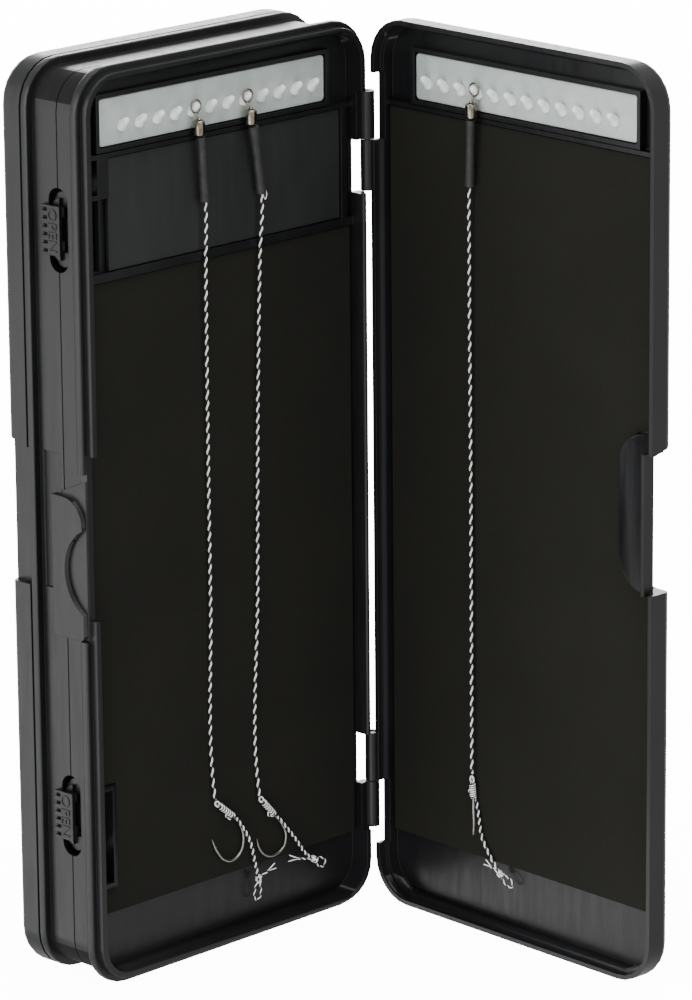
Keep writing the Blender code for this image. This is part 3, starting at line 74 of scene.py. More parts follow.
# Strips and pegs; the profile holds (distance up the peg, radius)
STRIP_CORNER_RADIUS = 0.0012
STRIP_EDGE_RADIUS = 0.00022
PEG_ROOT_SINK = 0.0006
PEG_PROFILE = ((0.0, 0.00180), (0.0006, 0.00165), (0.0011, 0.00132), (0.0017, 0.00112), (0.0025, 0.00100),
               (0.0030, 0.00088), (0.0034, 0.00056), (0.0036, 0.00014))

# Catches: the raised word and the rounded ends of the slider
LETTER_SIZE = 0.0044
LETTER_THICKNESS = 0.00010
LETTER_SINK = 0.00008
LETTER_OFFSET = 0.0012
SLIDER_SETBACK = 0.0036
SLIDER_THICKNESS = 0.0007
SLIDER_RADIUS = 0.0028
SLIDER_REACH = 0.0097
SLIDER_LENGTH = 0.0012
SLIDER_STEPS = 16

# Shells: how deep the hollow between the trays is, whose faces get painted shade, and how their surfaces are
# smoothed
WALL_DEPTH = 0.0026
FLOOR_FACE = 0.0038
WELD_DISTANCE = 0.000002
FLAT_DEGREES = 0.3
SHARP_DEGREES = 32.0
EDGE_SOFTNESS = 0.00022

HALF_WIDTH = BOX_WIDTH / 2
SEAM_Y = FRONT_TRAY_DEPTH - RIM_BAND_DEPTH / 2
FRONT = -1
BACK = 1
HOLLOW_DEPTHS = {"front_tray": FRONT_TRAY_DEPTH - FLOOR_FACE, "back_tray": BACK_TRAY_DEPTH - FLOOR_FACE}
HINGE_AXIS = Vector((HALF_WIDTH + HINGE_OFFSET, SEAM_Y - FRONT_TRAY_DEPTH, 0))
OPEN_TURN = (Matrix.Translation(HINGE_AXIS) @ Matrix.Rotation(math.radians(FRONT_LID_OPEN_DEGREES), 4, "Z")
             @ Matrix.Translation(-HINGE_AXIS))

# Camera of the photograph, fitted to the box's corners
CAMERA_PLACE = (-0.9792, -1.00546, 0.50906)
CAMERA_YAW = 45.50
CAMERA_PITCH = 15.49
CAMERA_ROLL = -0.51
CAMERA_LENS = 203.7
CAMERA_CLIP = (0.05, 150.0)

# Studio
SURROUND_STRENGTH = 0.90
FLOOR_GLOW = 13.0
FLOOR_REACH = 40.0
BOX_MIDDLE = (0.0, 0.0, 0.12)
LOW_SIDE = (-0.05, 0.0, 0.05)
SOFTBOXES = (
    ("free_side_softbox", (-1.3, 0.55, 0.40), BOX_MIDDLE, (0.9, 1.2), 14.0),
    ("front_softbox", (-0.25, -1.5, 0.75), BOX_MIDDLE, (1.1, 0.8), 5.0),
    ("top_softbox", (0.0, -0.20, 1.4), BOX_MIDDLE, (1.2, 1.2), 17.0),
    ("low_side_softbox", (-1.0, 1.1, -0.42), LOW_SIDE, (0.8, 0.5), 2.6),
    ("back_softbox", (1.1, 1.25, 0.62), BOX_MIDDLE, (1.5, 0.6), 22.0),
    ("floor_bounce", (-0.62, -0.20, -0.26), (-0.05, 0.0, 0.03), (0.6, 0.8), 3.0),
)

# Turned shapes, as (share of the way down, radius)
BARREL_PROFILE = ((0.0, 0.0007), (0.015, 0.00105), (0.05, 0.00132), (0.10, 0.00150), (0.17, 0.00155),
                  (0.50, 0.00153), (0.83, 0.00155), (0.90, 0.00150), (0.95, 0.00128), (0.985, 0.0009),
                  (1.0, 0.0006))
COLLAR_PROFILE = ((0.0, 0.0003), (0.3, 0.00055), (1.0, 0.0007))
EVEN_SLEEVE = ((0.0, 0.00108), (0.03, 0.00118), (0.25, 0.00112), (0.6, 0.00116), (1.0, 0.00126))
FLARED_SLEEVE = ((0.0, 0.00128), (0.06, 0.00146), (0.16, 0.00138), (0.30, 0.00112), (0.55, 0.00108),
                 (0.85, 0.00124), (1.0, 0.00130))

# Rigs: routes repeated from the part's source, as (across from the peg, drop below it, lift above the
# strip); a hook's points are shares of its length from the whipping's end
HOOK_LENGTH = 0.0140
RIG_SHAPES = {
    "rig_1": {
        "side": "tray", "peg": 4, "sleeve_radii": EVEN_SLEEVE, "has_spare_loop": False,
        "sleeve": [(0.0006, 0.0068, 0.00245), (0.0025, 0.0237, 0.0016)],
        "link": [(0.0026, 0.0240, 0.0016), (0.0027, 0.0400, 0.0013), (0.0029, 0.0767, 0.0009),
                 (0.0031, 0.1301, 0.0007), (0.0032, 0.1800, 0.0007)],
        "whipping": [(0.0035, 0.1842, 0.00095), (0.0100, 0.1896, 0.00095)],
        "hair": [(0.0152, 0.1974, 0.0016), (0.0174, 0.2041, 0.0012)],
        "knot": (0.0192, 0.2092, 0.0006),
        "loop_end": (0.0190, 0.2152, 0.0002),
        "tag_end": (0.0252, 0.2070, 0.0008),
        "hook": [(0.20, 0.22, -0.03), (0.28, 0.47, -0.03), (0.24, 0.69, -0.03), (0.11, 0.83, -0.03),
                 (-0.06, 0.87, -0.03), (-0.25, 0.79, -0.03), (-0.41, 0.60, -0.03), (-0.54, 0.33, -0.03)],
    },
    "rig_2": {
        "side": "tray", "peg": 7, "sleeve_radii": FLARED_SLEEVE, "has_spare_loop": True,
        "sleeve": [(0.0008, 0.0068, 0.00245), (0.0042, 0.0248, 0.0016)],
        "link": [(0.0043, 0.0251, 0.0016), (0.0038, 0.0400, 0.0013), (0.0027, 0.0800, 0.0009),
                 (0.0019, 0.1300, 0.0007), (0.0011, 0.1830, 0.0007)],
        "whipping": [(0.0014, 0.1868, 0.00095), (0.0067, 0.1928, 0.00095)],
        "hair": [(0.0141, 0.2015, 0.0016), (0.0182, 0.2066, 0.0012)],
        "knot": (0.0216, 0.2090, 0.0006),
        "loop_end": (0.0262, 0.2116, 0.0002),
        "tag_end": (0.0120, 0.2064, 0.0008),
        "hook": [(0.23, 0.25, -0.03), (0.33, 0.49, -0.03), (0.28, 0.69, -0.03), (0.11, 0.80, -0.03),
                 (-0.09, 0.81, -0.03), (-0.28, 0.71, -0.03), (-0.39, 0.56, -0.03), (-0.44, 0.37, -0.03)],
    },
    "rig_3": {
        "side": "lid", "peg": 8, "sleeve_radii": EVEN_SLEEVE, "has_spare_loop": False,
        "sleeve": [(-0.0002, 0.0068, 0.00245), (-0.0015, 0.0242, 0.0016)],
        "link": [(-0.0016, 0.0245, 0.0016), (-0.0020, 0.0450, 0.0013), (-0.0020, 0.1000, 0.0010),
                 (-0.0018, 0.1500, 0.0011), (-0.0016, 0.1790, 0.0013)],
        "whipping": [(-0.0016, 0.1831, 0.0013), (-0.0010, 0.1892, 0.0013)],
        "hair": [(0.0002, 0.1935, 0.0006), (0.0014, 0.1990, 0.0007), (0.0048, 0.2041, 0.0007)],
        "knot": (0.0083, 0.2080, 0.0006),
        "loop_end": (0.0125, 0.2105, 0.0002),
        "tag_end": (0.0036, 0.2056, 0.0016),
        "hook": [(0.03, 0.20, 0.03), (0.04, 0.42, 0.03), (0.07, 0.54, 0.06), (0.12, 0.61, 0.11),
                 (0.18, 0.62, 0.17), (0.23, 0.56, 0.22), (0.26, 0.46, 0.25), (0.27, 0.34, 0.26)],
    },
}
BRAID_RADIUS = 0.00038
HAIR_RADIUS = 0.00030
HOOK_WIRE_RADIUS = 0.00035

# Swivel and sleeve
EYE_RADIUS = 0.00165
EYE_LIFT = 0.0014
EYE_WIRE_RADIUS = 0.00025
EYE_STEPS = 40
NECK_RADIUS = 0.00026
NECK_LEAN = 0.0004
NECK_SINK = 0.0002
COLLAR_RISE = 0.0005
COLLAR_DIP = 0.00015
BARREL_DROP = 0.0023
BARREL_LENGTH = 0.0042
BARREL_LIFT = 0.00245
SLEEVE_STEPS = 18
SLEEVE_LIP_DEPTH = 0.0008
SLEEVE_BORE_DEPTH = 0.0025
SLEEVE_BORE_RADII = [0.00078, 0.00074, 0.00070]

# Short loop of line beside a sleeve, as (way down, way across)
SPARE_LOOP_OFFSET = 0.0012
SPARE_LOOP_ROUTE = ((-0.0012, 0.0), (0.0009, -0.0006), (0.0020, 0.0), (0.0009, 0.0006), (-0.0012, 0.0001))
SPARE_LINE_RADIUS = 0.00013

# Hook: where its wire starts in the whipping, its taper, and its barb as (rise from the wire, way back)
HOOK_START = 0.0016
TAPER_POINTS = 14
TAPER_SHARE = 0.86
TAPER_CURVE = 1.4
BARB_START = -9
BARB_ROUTE = ((0.0001, 0.0), (0.00030, 0.00035), (0.00062, 0.00090))
BARB_RADII = [0.00020, 0.00014, 0.00004]

# Braided line: pitch of the twist, and (radius of a strand, radius that it winds at)
BRAID_PITCH = 0.0029
HAIR_PITCH = 0.0021
STEPS_PER_TWIST = 12
DARK_STRAND_SHARE = 0.85
LINK_RADII = (0.00025, 0.00021)
HAIR_RADII = (0.00024, 0.00020)
BULGE_RADII = (0.00018, 0.00012)
LOOP_RADII = (0.00017, 0.00013)
TAG_RADII = (0.00019, 0.00014)
LINK_STEP = 0.0020
HAIR_STEP = 0.0008
FINE_STEP = 0.0003
FINEST_STEP = 0.0002

# Whipping and the line through the hook's eye; the bulge holds (way back from the end, way across)
WHIPPING_TURNS = 6.5
WHIPPING_COIL_RADIUS = 0.00060
WHIPPING_START = 0.0020
WHIPPING_END = 0.0004
PALE_WIND_RADIUS = 0.00026
DARK_WIND_RADIUS = 0.00021
HOOK_EYE_STEPS = 26
HOOK_EYE_REACH = 0.0009
HOOK_EYE_HALF_WIDTH = 0.0006
HOOK_EYE_LINE_RADIUS = 0.00023
BULGE_ROUTE = ((0.0030, 0.0005), (0.0022, 0.0013), (0.0009, 0.0012), (0.0001, 0.0004))

# Knot: its coil along the hair and its coil across, as (back, on, radius, turns, phase, line's radius)
KNOT_COILS = ((0.0007, 0.0009, 0.00062, 2.6, 0.6, 0.00030), (0.0006, 0.0006, 0.00058, 1.3, 2.0, 0.00028))
KNOT_ENTRY = 0.0006

# Bait loop, and the cut tag with its frayed ends as (spread, lift)
LOOP_START = 0.0004
LOOP_HALF_WIDTH = 0.0011
LOOP_FOOT_SHARE = 0.25
LOOP_SHOULDER_SHARE = 0.8
TAG_START_SHARE = 0.08
TAG_NECK_SHARE = 0.60
FRAY_RADIUS = 0.00016
FRAY_START_SHARE = -0.04
FRAY_MIDDLE_SHARE = 0.15
FRAY_MIDDLE_SPREAD = 0.0030
FRAY_END_SPREAD = 0.0075
FRAY_END_LIFT = 0.003
FRAY_SHARES = ((-0.10, 0.05), (0.02, -0.08), (0.12, 0.02))


def tray_y(side, depth):
    """Y of a place in a tray, at a depth behind its rim."""
    shell_depth = FRONT_TRAY_DEPTH if side == FRONT else BACK_TRAY_DEPTH
    return SEAM_Y + side * (shell_depth - depth)


def lid_y(side, depth):
    """Y of a place in a closed lid, at a depth behind its rim."""
    return tray_y(side, 0) + side * (CLEARANCE + depth)


def peg_x(number):
    return -HALF_WIDTH + FIRST_PEG + number * PEG_PITCH


def add_camera():
    data = bpy.data.cameras.new("photograph_camera")
    data.lens = CAMERA_LENS
    data.clip_start, data.clip_end = CAMERA_CLIP
    camera = bpy.data.objects.new("photograph_camera", data)
    bpy.context.scene.collection.objects.link(camera)
    yaw = math.radians(CAMERA_YAW)
    pitch = math.radians(CAMERA_PITCH)
    roll = math.radians(CAMERA_ROLL)
    forward = Vector((math.sin(yaw) * math.cos(pitch), math.cos(yaw) * math.cos(pitch), -math.sin(pitch)))
    level_right = Vector((math.cos(yaw), -math.sin(yaw), 0))
    level_up = level_right.cross(forward)
    right = level_right * math.cos(roll) + level_up * math.sin(roll)
    up = level_up * math.cos(roll) - level_right * math.sin(roll)
    turn = Matrix((right, up, -forward)).transposed().to_4x4()
    camera.matrix_world = Matrix.Translation(CAMERA_PLACE) @ turn
    bpy.context.scene.camera = camera


def add_softbox(name, place, aim, size, power):
    data = bpy.data.lights.new(name, "AREA")
    data.shape = "RECTANGLE"
    data.size, data.size_y = size
    data.energy = power
    lamp = bpy.data.objects.new(name, data)
    bpy.context.scene.collection.objects.link(lamp)
    lamp.location = place
    lamp.rotation_mode = "QUATERNION"
    lamp.rotation_quaternion = (Vector(aim) - Vector(place)).to_track_quat("-Z", "Y")


def add_studio():
    """A glowing white floor, a soft surround, and soft boxes in front, above, behind and at the free side."""
    world = bpy.data.worlds.new("studio_surround")
    world.use_nodes = True
    background = world.node_tree.nodes["Background"]
    background.inputs["Color"].default_value = (1.0, 1.0, 1.0, 1.0)
    background.inputs["Strength"].default_value = SURROUND_STRENGTH
    bpy.context.scene.world = world
    for name, place, aim, size, power in SOFTBOXES:
        add_softbox(name, place, aim, size, power)
    mesh = bpy.data.meshes.new("studio_floor")
    corners = [(across * FLOOR_REACH, along * FLOOR_REACH, 0)
               for across, along in ((-1, -1), (1, -1), (1, 1), (-1, 1))]
    mesh.from_pydata(corners, [], [(0, 1, 2, 3)])
    floor = bpy.data.objects.new("studio_floor", mesh)
    floor.location = (0, 0, -CLEARANCE)
    bpy.context.scene.collection.objects.link(floor)
    material = bpy.data.materials.new("white_floor")
    material.use_nodes = True
    shader = material.node_tree.nodes["Principled BSDF"]
    shader.inputs["Base Color"].default_value = (0.93, 0.93, 0.93, 1.0)
    shader.inputs["Roughness"].default_value = 0.9
    shader.inputs["Emission Color"].default_value = (1.0, 1.0, 1.0, 1.0)
    shader.inputs["Emission Strength"].default_value = FLOOR_GLOW
    mesh.materials.append(material)
    floor.visible_diffuse = False
    floor.visible_glossy = False
    floor.visible_shadow = False


class Finish:
    """A material being wired: nodes are added with their constant inputs set by name."""

    def __init__(self, name, roughness, metallic=0.0, **shader_values):
        self.material = bpy.data.materials.new(name)
        self.material.use_nodes = True
        self.nodes = self.material.node_tree.nodes
        self.links = self.material.node_tree.links
        self.shader = self.nodes["Principled BSDF"]
        self.shader.inputs["Roughness"].default_value = roughness
        self.shader.inputs["Metallic"].default_value = metallic
        for socket, value in shader_values.items():
            self.shader.inputs[socket.replace("_", " ")].default_value = value
        self.place = self.nodes.new("ShaderNodeTexCoord").outputs["Object"]

    def link(self, source, target):
        self.links.new(source, target)

    def node(self, kind, inputs=None, **settings):
        made = self.nodes.new("ShaderNode" + kind)
        for name, value in settings.items():
            setattr(made, name, value)
        for name, value in (inputs or {}).items():
            if isinstance(value, bpy.types.NodeSocket):
                self.link(value, made.inputs[name])
            else:
                made.inputs[name].default_value = value
        return made

    def noise(self, scale, detail=3.0, roughness=0.55, vector=None):
        return self.node("TexNoise", {"Vector": vector or self.place, "Scale": scale, "Detail": detail,
                                      "Roughness": roughness}).outputs["Fac"]

    def ramp(self, factor, low, high, start=0.0, end=1.0):
        """Colours from low to high as the factor goes from start to end."""
        made = self.node("ValToRGB", {"Fac": factor})
        made.color_ramp.elements[0].position = start
        made.color_ramp.elements[0].color = (*low, 1.0)
        made.color_ramp.elements[1].position = end
        made.color_ramp.elements[1].color = (*high, 1.0)
        return made.outputs["Color"]

    def spread(self, factor, low, high, start=0.3, end=0.7):
        """A number from low to high as the factor goes from start to end."""
        return self.node("MapRange", {"Value": factor, "From Min": start, "From Max": end, "To Min": low,
                                      "To Max": high}).outputs["Result"]

    def bump(self, height, distance, strength=1.0):
        made = self.node("Bump", {"Height": height, "Distance": distance, "Strength": strength})
        self.link(made.outputs["Normal"], self.shader.inputs["Normal"])

    def colour(self, source):
        self.link(source, self.shader.inputs["Base Color"])

    def rough(self, source):
        self.link(source, self.shader.inputs["Roughness"])


def moulded_plastic(name, dark, light, rough_low, rough_high, grain=0.000012, specular=0.36):
    """Satin moulded plastic: faint flow clouding, fine spark-eroded grain, light handling marks."""
    finish = Finish(name, rough_low, Specular_IOR_Level=specular)
    clouds = finish.noise(38.0, detail=4.0)
    finish.colour(finish.ramp(clouds, dark, light, 0.35, 0.7))
    stretched = finish.node("Mapping", {"Vector": finish.place, "Scale": (1.0, 1.0, 0.12),
                                        "Rotation": (0.2, 0.1, 0.3)}).outputs["Vector"]
    marks = finish.noise(420.0, detail=5.0, roughness=0.7, vector=stretched)
    finish.rough(finish.spread(marks, rough_low, rough_high))
    rounded = finish.node("Bevel", {"Radius": EDGE_SOFTNESS}, samples=4).outputs["Normal"]
    grained = finish.node("Bump", {"Height": finish.noise(5200.0, detail=2.0), "Distance": grain,
                                   "Normal": rounded})
    finish.link(grained.outputs["Normal"], finish.shader.inputs["Normal"])
    return finish.material


def foam_sheet(name):
    """Closed-cell foam: matte, with a fine even grain and a few open cells."""
    finish = Finish(name, 0.93, Specular_IOR_Level=0.15)
    grain = finish.noise(2600.0, detail=4.0, roughness=0.65)
    patches = finish.noise(26.0, detail=2.0)
    fine = finish.ramp(grain, (0.0080, 0.0080, 0.0062), (0.0140, 0.0138, 0.0110), 0.3, 0.75)
    broad = finish.ramp(patches, (0.86, 0.86, 0.86), (1.06, 1.06, 1.05), 0.3, 0.7)
    # Inputs 6 and 7 are the two colours that are mixed, and output 2 is the mixed colour
    mixed = finish.node("Mix", {"Factor": 1.0, 6: fine, 7: broad}, data_type="RGBA", blend_type="MULTIPLY")
    finish.colour(mixed.outputs[2])
    cells = finish.node("TexVoronoi", {"Vector": finish.place, "Scale": 1500.0}).outputs["Distance"]
    finish.bump(cells, 0.00006, 0.5)
    return finish.material


def frosted_plastic(name, low, high, rough, coat=0.0):
    """Milky translucent plastic, a little cloudier in places."""
    finish = Finish(name, rough, Subsurface_Weight=0.55, Subsurface_Scale=0.0022, Specular_IOR_Level=0.45,
                    Coat_Weight=coat, Coat_Roughness=0.12)
    finish.shader.inputs["Subsurface Radius"].default_value = (1.0, 1.0, 0.95)
    clouds = finish.noise(170.0, detail=4.0)
    finish.colour(finish.ramp(clouds, low, high, 0.3, 0.72))
    finish.rough(finish.spread(finish.noise(900.0), rough - 0.08, rough + 0.08))
    finish.bump(finish.noise(2400.0), 0.00002)
    return finish.material


def drawn_metal(name, low, high, rough):
    """Plated wire or a turned barrel: bright, with faint drawing streaks and dulled spots."""
    finish = Finish(name, rough, metallic=1.0)
    spots = finish.noise(900.0, detail=4.0)
    finish.colour(finish.ramp(spots, low, high, 0.35, 0.65))
    finish.rough(finish.spread(finish.noise(2600.0, detail=4.0), rough * 0.7, rough * 1.5))
    finish.bump(finish.noise(6000.0), 0.000006)
    return finish.material


def soft_tube(name):
    """Rubber-like sleeve: matte, slightly dusty."""
    finish = Finish(name, 0.55, Specular_IOR_Level=0.4)
    finish.colour(finish.ramp(finish.noise(700.0, detail=5.0), (0.020, 0.020, 0.020), (0.044, 0.043, 0.041),
                              0.45, 0.8))
    finish.rough(finish.spread(finish.noise(1500.0), 0.45, 0.7))
    finish.bump(finish.noise(3200.0), 0.00003)
    return finish.material


def fibre(name, low, high, sheen):
    """Braided line: fine clouding and a weave of fibres slanting round the strand."""
    finish = Finish(name, 0.62, Sheen_Weight=sheen, Sheen_Roughness=0.4, Specular_IOR_Level=0.3)
    finish.colour(finish.ramp(finish.noise(3400.0, detail=3.0), low, high, 0.35, 0.65))
    weave = finish.node("TexWave", {"Vector": finish.place, "Scale": 900.0, "Distortion": 2.0},
                        bands_direction="DIAGONAL").outputs["Fac"]
    finish.bump(weave, 0.00004, 0.7)
    return finish.material


BLACK_PLASTIC = moulded_plastic("black_moulded_plastic", (0.0052, 0.0054, 0.0062), (0.0080, 0.0082, 0.0092),
                                0.27, 0.42)
PLATE_PLASTIC = moulded_plastic("cover_plate_plastic", (0.0155, 0.0162, 0.0166), (0.0210, 0.0218, 0.0224),
                                0.36, 0.50)
# Darker, duller plastic laid on the hollow between the trays: painted shade where the real hollow lies in
# shadow
HOLLOW_SHADE_PLASTIC = moulded_plastic("painted_shade_hollow_plastic", (0.0032, 0.0033, 0.0037),
                                (0.0046, 0.0047, 0.0052), 0.62, 0.78, specular=0.18)
FOAM = foam_sheet("black_foam")
STRIP_FROST = frosted_plastic("frosted_strip", (0.41, 0.46, 0.44), (0.52, 0.57, 0.54), 0.42)
PEG_FROST = frosted_plastic("frosted_peg", (0.95, 0.98, 0.97), (0.98, 1.0, 0.99), 0.24, coat=0.7)
HOOK_STEEL = drawn_metal("hook_wire", (0.28, 0.27, 0.26), (0.42, 0.41, 0.40), 0.30)
PIN_STEEL = drawn_metal("pin_steel", (0.40, 0.40, 0.40), (0.55, 0.55, 0.55), 0.28)
SWIVEL_METAL = drawn_metal("swivel_plating", (0.185, 0.162, 0.125), (0.33, 0.298, 0.24), 0.14)
EYE_METAL = drawn_metal("swivel_eye_wire", (0.16, 0.145, 0.12), (0.29, 0.265, 0.22), 0.22)
SLEEVE_RUBBER = soft_tube("sleeve_rubber")
PALE_FIBRE = fibre("pale_strand", (0.88, 0.88, 0.86), (0.97, 0.97, 0.96), 0.45)
DARK_FIBRE = fibre("dark_strand", (0.004, 0.004, 0.006), (0.012, 0.012, 0.013), 0.05)


def mesh_from_bmesh(name, shape, smooth_degrees=40.0):
    mesh = bpy.data.meshes.new(name)
    if shape.calc_volume(signed=True) < 0:
        bmesh.ops.reverse_faces(shape, faces=shape.faces)
    shape.to_mesh(mesh)
    shape.free()
    mesh.shade_smooth()
    mesh.set_sharp_from_angle(angle=math.radians(smooth_degrees))
    return mesh


def new_piece(name, shape, body, materials, replaced=()):
    """Put a finished mesh or bmesh in the scene and let it ride on its body."""
    mesh = mesh_from_bmesh(name, shape) if isinstance(shape, bmesh.types.BMesh) else shape
    piece = bpy.data.objects.new(name, mesh)
    bpy.context.scene.collection.objects.link(piece)
    if not mesh.materials:
        for material in materials:
            mesh.materials.append(material)
    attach(piece, body)
    if replaced:
        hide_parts(*replaced)
    return piece


def smooth_route(route, step):
    """Points about one step apart on a smooth curve through the route."""
    points = [Vector(point) for point in route]
    lengths = [(end - start).length for start, end in zip(points, points[1:])]
    directions = [(end - start) / length for start, end, length in zip(points, points[1:], lengths)]
    slopes = [directions[0]]
    for index in range(1, len(directions)):
        before = lengths[index - 1]
        after = lengths[index]
        slopes.append((directions[index - 1] * after + directions[index] * before) / (before + after))
    slopes.append(directions[-1])
    curve_points = []
    for index, length in enumerate(lengths):
        count = max(1, round(length / step))
        for number in range(count):
            share = number / count
            square = share * share
            cube = square * share
            curve_points.append((2 * cube - 3 * square + 1) * points[index]
                                + (cube - 2 * square + share) * length * slopes[index]
                                + (3 * square - 2 * cube) * points[index + 1]
                                + (cube - square) * length * slopes[index + 1])
    curve_points.append(points[-1])
    return curve_points


def frames_along(points):
    """A tangent, normal and side direction at each point, carried along without twisting."""
    tangents = []
    for index in range(len(points)):
        before = points[max(index - 1, 0)]
        after = points[min(index + 1, len(points) - 1)]
        tangents.append((after - before).normalized())
    seed = Vector((0, 0, 1)) if abs(tangents[0].z) < 0.9 else Vector((1, 0, 0))
    normal = (seed - tangents[0] * seed.dot(tangents[0])).normalized()
    result = []
    for tangent in tangents:
        normal = (normal - tangent * normal.dot(tangent)).normalized()
        result.append((tangent, normal, tangent.cross(normal)))
    return result


def sweep(shape, points, radii, sides=12, closed=False, material=0):
    """Add a round tube along the points to a bmesh, with a radius at each point."""
    faces = []
    rings = []
    for point, radius, (_, normal, side) in zip(points, radii, frames_along(points)):
        ring = []
        for number in range(sides):
            angle = 2 * math.pi * number / sides
            ring.append(shape.verts.new(point + normal * (radius * math.cos(angle))
                                        + side * (radius * math.sin(angle))))
        rings.append(ring)
    pairs = list(zip(rings, rings[1:]))
    if closed:
        pairs.append((rings[-1], rings[0]))
    for first, second in pairs:
        for number in range(sides):
            after = (number + 1) % sides
            faces.append(shape.faces.new((first[number], first[after], second[after], second[number])))
    if not closed:
        faces.append(shape.faces.new(list(reversed(rings[0]))))
        faces.append(shape.faces.new(rings[-1]))
    for face in faces:
        face.material_index = material


def lathe(shape, start, end, profile, sides=32):
    """Add a turned solid: profile holds (share of the way along, radius)."""
    points = [start.lerp(end, share) for share, _ in profile]
    axis = (end - start).normalized()
    seed = Vector((0, 0, 1)) if abs(axis.z) < 0.9 else Vector((1, 0, 0))
    normal = (seed - axis * seed.dot(axis)).normalized()
    side = axis.cross(normal)
    rings = []
    for point, (_, radius) in zip(points, profile):
        rings.append([shape.verts.new(point + (normal * math.cos(2 * math.pi * number / sides)
                                               + side * math.sin(2 * math.pi * number / sides)) * radius)
                      for number in range(sides)])
    for first, second in zip(rings, rings[1:]):
        for number in range(sides):
            after = (number + 1) % sides
            shape.faces.new((first[number], first[after], second[after], second[number]))
    shape.faces.new(list(reversed(rings[0])))
    shape.faces.new(rings[-1])


class Tree:
    """A Geometry Nodes tree being wired, with named size inputs."""

    def __init__(self, name, inputs):
        self.group = bpy.data.node_groups.new(name, "GeometryNodeTree")
        self.group.interface.new_socket("Geometry", in_out="INPUT", socket_type="NodeSocketGeometry")
        self.sockets = {}
        for label, kind in inputs:
            made = self.group.interface.new_socket(label, in_out="INPUT", socket_type="NodeSocket" + kind)
            self.sockets[label] = made.identifier
        self.group.interface.new_socket("Geometry", in_out="OUTPUT", socket_type="NodeSocketGeometry")
        self.start = self.node("NodeGroupInput").outputs

    def node(self, kind, inputs=None, **settings):
        made = self.group.nodes.new(kind)
        for name, value in settings.items():
            setattr(made, name, value)
        for name, value in (inputs or {}).items():
            if isinstance(value, bpy.types.NodeSocket):
                self.group.links.new(value, made.inputs[name])
            else:
                made.inputs[name].default_value = value
        return made

    def math(self, operation, first, second=0.0):
        return self.node("ShaderNodeMath", {0: first, 1: second}, operation=operation).outputs[0]

    def scaled(self, vector, scale):
        return self.node("ShaderNodeVectorMath", {0: vector, "Scale": scale}, operation="SCALE").outputs[0]

    def painted(self, geometry, material):
        return self.node("GeometryNodeSetMaterial", {"Geometry": geometry,
                                                     "Material": material}).outputs["Geometry"]

    def realized(self, geometry):
        return self.node("GeometryNodeRealizeInstances", {"Geometry": geometry}).outputs["Geometry"]

    def finish(self, geometry):
        self.node("NodeGroupOutput", {"Geometry": geometry})


def run_tree(source, tree, values, name):
    """Evaluate a tree on an object and return the result as a plain mesh; the source is removed."""
    modifier = source.modifiers.new(name, "NODES")
    modifier.node_group = tree.group
    for label, value in values.items():
        modifier[tree.sockets[label]] = value
    depsgraph = bpy.context.evaluated_depsgraph_get()
    mesh = bpy.data.meshes.new_from_object(source.evaluated_get(depsgraph))
    mesh.name = name
    bpy.data.objects.remove(source, do_unlink=True)
    return mesh


def build_strand_tree():
    """Two strands twisted round each other along a curve."""
    tree = Tree("twisted_line", [("First Radius", "Float"), ("Second Radius", "Float"),
                                 ("Twist Radius", "Float"), ("Pitch", "Float"), ("Step", "Float"),
                                 ("First Material", "Material"), ("Second Material", "Material")])
    start = tree.start
    even = tree.node("GeometryNodeResampleCurve", {"Curve": start["Geometry"], "Length": start["Step"]},
                     mode="LENGTH")
    along = tree.node("GeometryNodeSplineParameter").outputs["Length"]
    normal = tree.node("GeometryNodeInputNormal").outputs[0]
    tangent = tree.node("GeometryNodeInputTangent").outputs[0]
    side = tree.node("ShaderNodeVectorMath", {0: tangent, 1: normal}, operation="CROSS_PRODUCT").outputs[0]
    turns = tree.math("DIVIDE", along, start["Pitch"])
    strands = []
    for phase, label in ((0.0, "First"), (math.pi, "Second")):
        angle = tree.math("ADD", tree.math("MULTIPLY", turns, 2 * math.pi), phase)
        across = tree.math("MULTIPLY", tree.math("COSINE", angle), start["Twist Radius"])
        outward = tree.math("MULTIPLY", tree.math("SINE", angle), start["Twist Radius"])
        parts = {0: tree.scaled(normal, across), 1: tree.scaled(side, outward)}
        offset = tree.node("ShaderNodeVectorMath", parts, operation="ADD").outputs[0]
        moved = tree.node("GeometryNodeSetPosition", {"Geometry": even.outputs["Curve"],
                                                      "Offset": offset}).outputs["Geometry"]
        ring = tree.node("GeometryNodeCurvePrimitiveCircle", {"Resolution": 8,
                                                              "Radius": start[label + " Radius"]})
        solid = tree.node("GeometryNodeCurveToMesh", {"Curve": moved, "Profile Curve": ring.outputs["Curve"],
                                                      "Fill Caps": True}).outputs["Mesh"]
        strands.append(tree.painted(tree.realized(solid), start[label + " Material"]))
    joined = tree.node("GeometryNodeJoinGeometry")
    for strand in reversed(strands):
        tree.group.links.new(strand, joined.inputs[0])
    smooth = tree.node("GeometryNodeSetShadeSmooth", {"Geometry": joined.outputs["Geometry"]})
    tree.finish(smooth.outputs["Geometry"])
    return tree


def build_row_tree():
    """Copies of one shape, evenly spaced along X."""
    tree = Tree("even_row", [("Count", "Int"), ("Pitch", "Float"), ("Material", "Material")])
    start = tree.start
    step = tree.node("ShaderNodeCombineXYZ", {"X": start["Pitch"]}).outputs[0]
    line = tree.node("GeometryNodeMeshLine", {"Count": start["Count"], "Offset": step}, mode="OFFSET")
    row = tree.node("GeometryNodeInstanceOnPoints", {"Points": line.outputs["Mesh"],
                                                     "Instance": start["Geometry"]}).outputs["Instances"]
    tree.finish(tree.painted(tree.realized(row), start["Material"]))
    return tree


STRAND_TREE = build_strand_tree()
ROW_TREE = build_row_tree()


